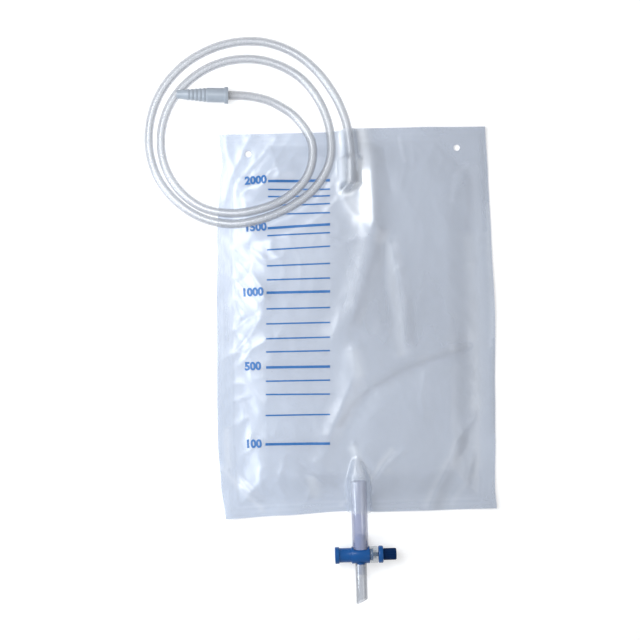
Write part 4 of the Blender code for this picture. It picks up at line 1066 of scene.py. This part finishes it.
plunger = turned_up("tap_plunger_moulding", [
    (LAND - 0.0003, TAIL_LEFT), (LAND, TAIL_LEFT + 0.0003), *lip_rings(TAIL_LEFT + 0.00045),
    *lip_rings(WAIST_LEFT - 0.00135), (LAND, WAIST_LEFT), (WAIST, WAIST_LEFT), (WAIST, WAIST_RIGHT),
    (LAND, WAIST_RIGHT), *lip_rings(WAIST_RIGHT + 0.00045), *lip_rings(LAND_RIGHT - 0.00135),
    (LAND, LAND_RIGHT), (STEM, LAND_RIGHT), (STEM, STEM_END),
], "X", TAP_CENTRE, sides=56)
smoothed(plunger, 35)
finish = moulded("navy_moulding", (0, 0.008, 0.045), (0.002, 0.016, 0.08), 0.4, 0.1)
finish.onto(plunger)
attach(plunger, "plunger")
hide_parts("tap_plunger")


# The push head: a mid blue disc moulded round the stem, that a thumb pushes home. The knob outside it is
# navy, ribbed along its length for the fingers, and pressed on the end of the stem.
HEAD = 0.0063
push_head = turned_up("push_head_disc", [
    (STEM + 0.0002, HEAD_START), *round_band(HEAD, HEAD_START, HEAD_END, 0.0006, 1 / 3), (0.0046, HEAD_END),
    (0.0044, HEAD_END - 0.0003), (STEM + 0.0002, HEAD_END - 0.0003), (STEM + 0.0002, HEAD_START),
], "X", TAP_CENTRE)
smoothed(push_head, 35)
blue_finish.onto(push_head)
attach(push_head, "plunger")
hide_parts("push_head")

KNOB = 0.0044
KNOB_END = KNOB_START + 0.0094
KNOB_RIBS = 14
KNOB_GROOVE = 0.00042
KNOB_SIDE = 0.0037
GROOVE_FADE = 0.0012
push_knob = turned_up("push_knob_grip", [
    (STEM + 0.0002, KNOB_START), (KNOB - 0.0004, KNOB_START), (KNOB - 0.0001, KNOB_START + 0.0001),
    *[(KNOB, KNOB_START + 0.0004 + 0.0008 * i) for i in range(11)],
    (KNOB - 0.0001, KNOB_END - 0.0005), (KNOB - 0.0006, KNOB_END), (0.0026, KNOB_END), (0.0024, KNOB_END - 0.0004),
    (0.0002, KNOB_END - 0.0004),
], "X", TAP_CENTRE, sides=168)
knob_centre = Vector(TAP_CENTRE)
for vertex in push_knob.data.vertices:
    out = vertex.co - knob_centre
    across = math.hypot(out.y, out.z)
    if across > KNOB_SIDE:
        angle = math.atan2(out.z, out.y)
        end_fade = eased((out.x - KNOB_START - 0.0004) / GROOVE_FADE) * eased((KNOB_END - out.x) / GROOVE_FADE)
        groove = 1 - abs(math.cos(angle * KNOB_RIBS / 2)) ** 0.7
        scale = 1 - KNOB_GROOVE * groove * float(end_fade) / across
        vertex.co = knob_centre + Vector((out.x, out.y * scale, out.z * scale))
smoothed(push_knob, 40)
finish = moulded("navy_grip", (0, 0.008, 0.045), (0, 0.024, 0.095), 0.5, 0.0, gloss=0.09)
finish.onto(push_knob)
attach(push_knob, "plunger")
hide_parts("push_knob")


# The drain spout: a short length of soft clear tube pushed on the tap's lower nipple, with its free end
# cut on the slant.
SPOUT_TOP_Y = -0.17825
SPOUT_BOTTOM_Y = -0.20755
SPOUT = 0.00435
SPOUT_WALL = 0.0011
SPOUT_SLANT = math.atan2(0.0038, 0.0087)
BLOCK = 0.04
spout = turned_up("drain_spout_clear", tube_rings(SPOUT, SPOUT_WALL, SPOUT_BOTTOM_Y, SPOUT_TOP_Y, 0.00025),
                  "Y", (OUTLET_X, 0, OUTLET_Z), sides=64)
bpy.ops.mesh.primitive_cube_add(size=BLOCK)
slant_block = bpy.context.object
slant_block.rotation_euler.z = SPOUT_SLANT
slant_middle = Vector((OUTLET_X, SPOUT_BOTTOM_Y + 0.0019, OUTLET_Z))
slant_block.location = slant_middle - Vector((-math.sin(SPOUT_SLANT), math.cos(SPOUT_SLANT), 0)) * BLOCK / 2
joined(spout, slant_block, "DIFFERENCE")
smoothed(spout, 35)
wall_depth(spout, SPOUT, SPOUT_WALL, np.abs(places_of(spout)[:, 0] - OUTLET_X))
finish = Finish("clear_spout", IOR=1.6, Coat_Weight=1, Coat_IOR=1.9, Coat_Roughness=0.14)
spout_wall = finish.mark("wall_depth")
# Painted shade: the spout's colour darkens where more wall lies under the view from above, for the dark edges of a
# clear tube, over its uneven tint.
spout_tone_and_edge_shade = (spout_wall * 1.3 - 0.6 + finish.cloud(90, stretch=(1, 0.25, 1)) * 0.5).clipped()
finish.tint(spout_tone_and_edge_shade, (0.43, 0.45, 0.5), (0.11, 0.12, 0.15))
finish.feed("Roughness", finish.cloud(400) * 0.15 + 0.14)
finish.feed("Alpha", spout_wall * 0.3 + 0.38)
finish.onto(spout, shadow=False)
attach(spout, "bag")
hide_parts("drain_spout")
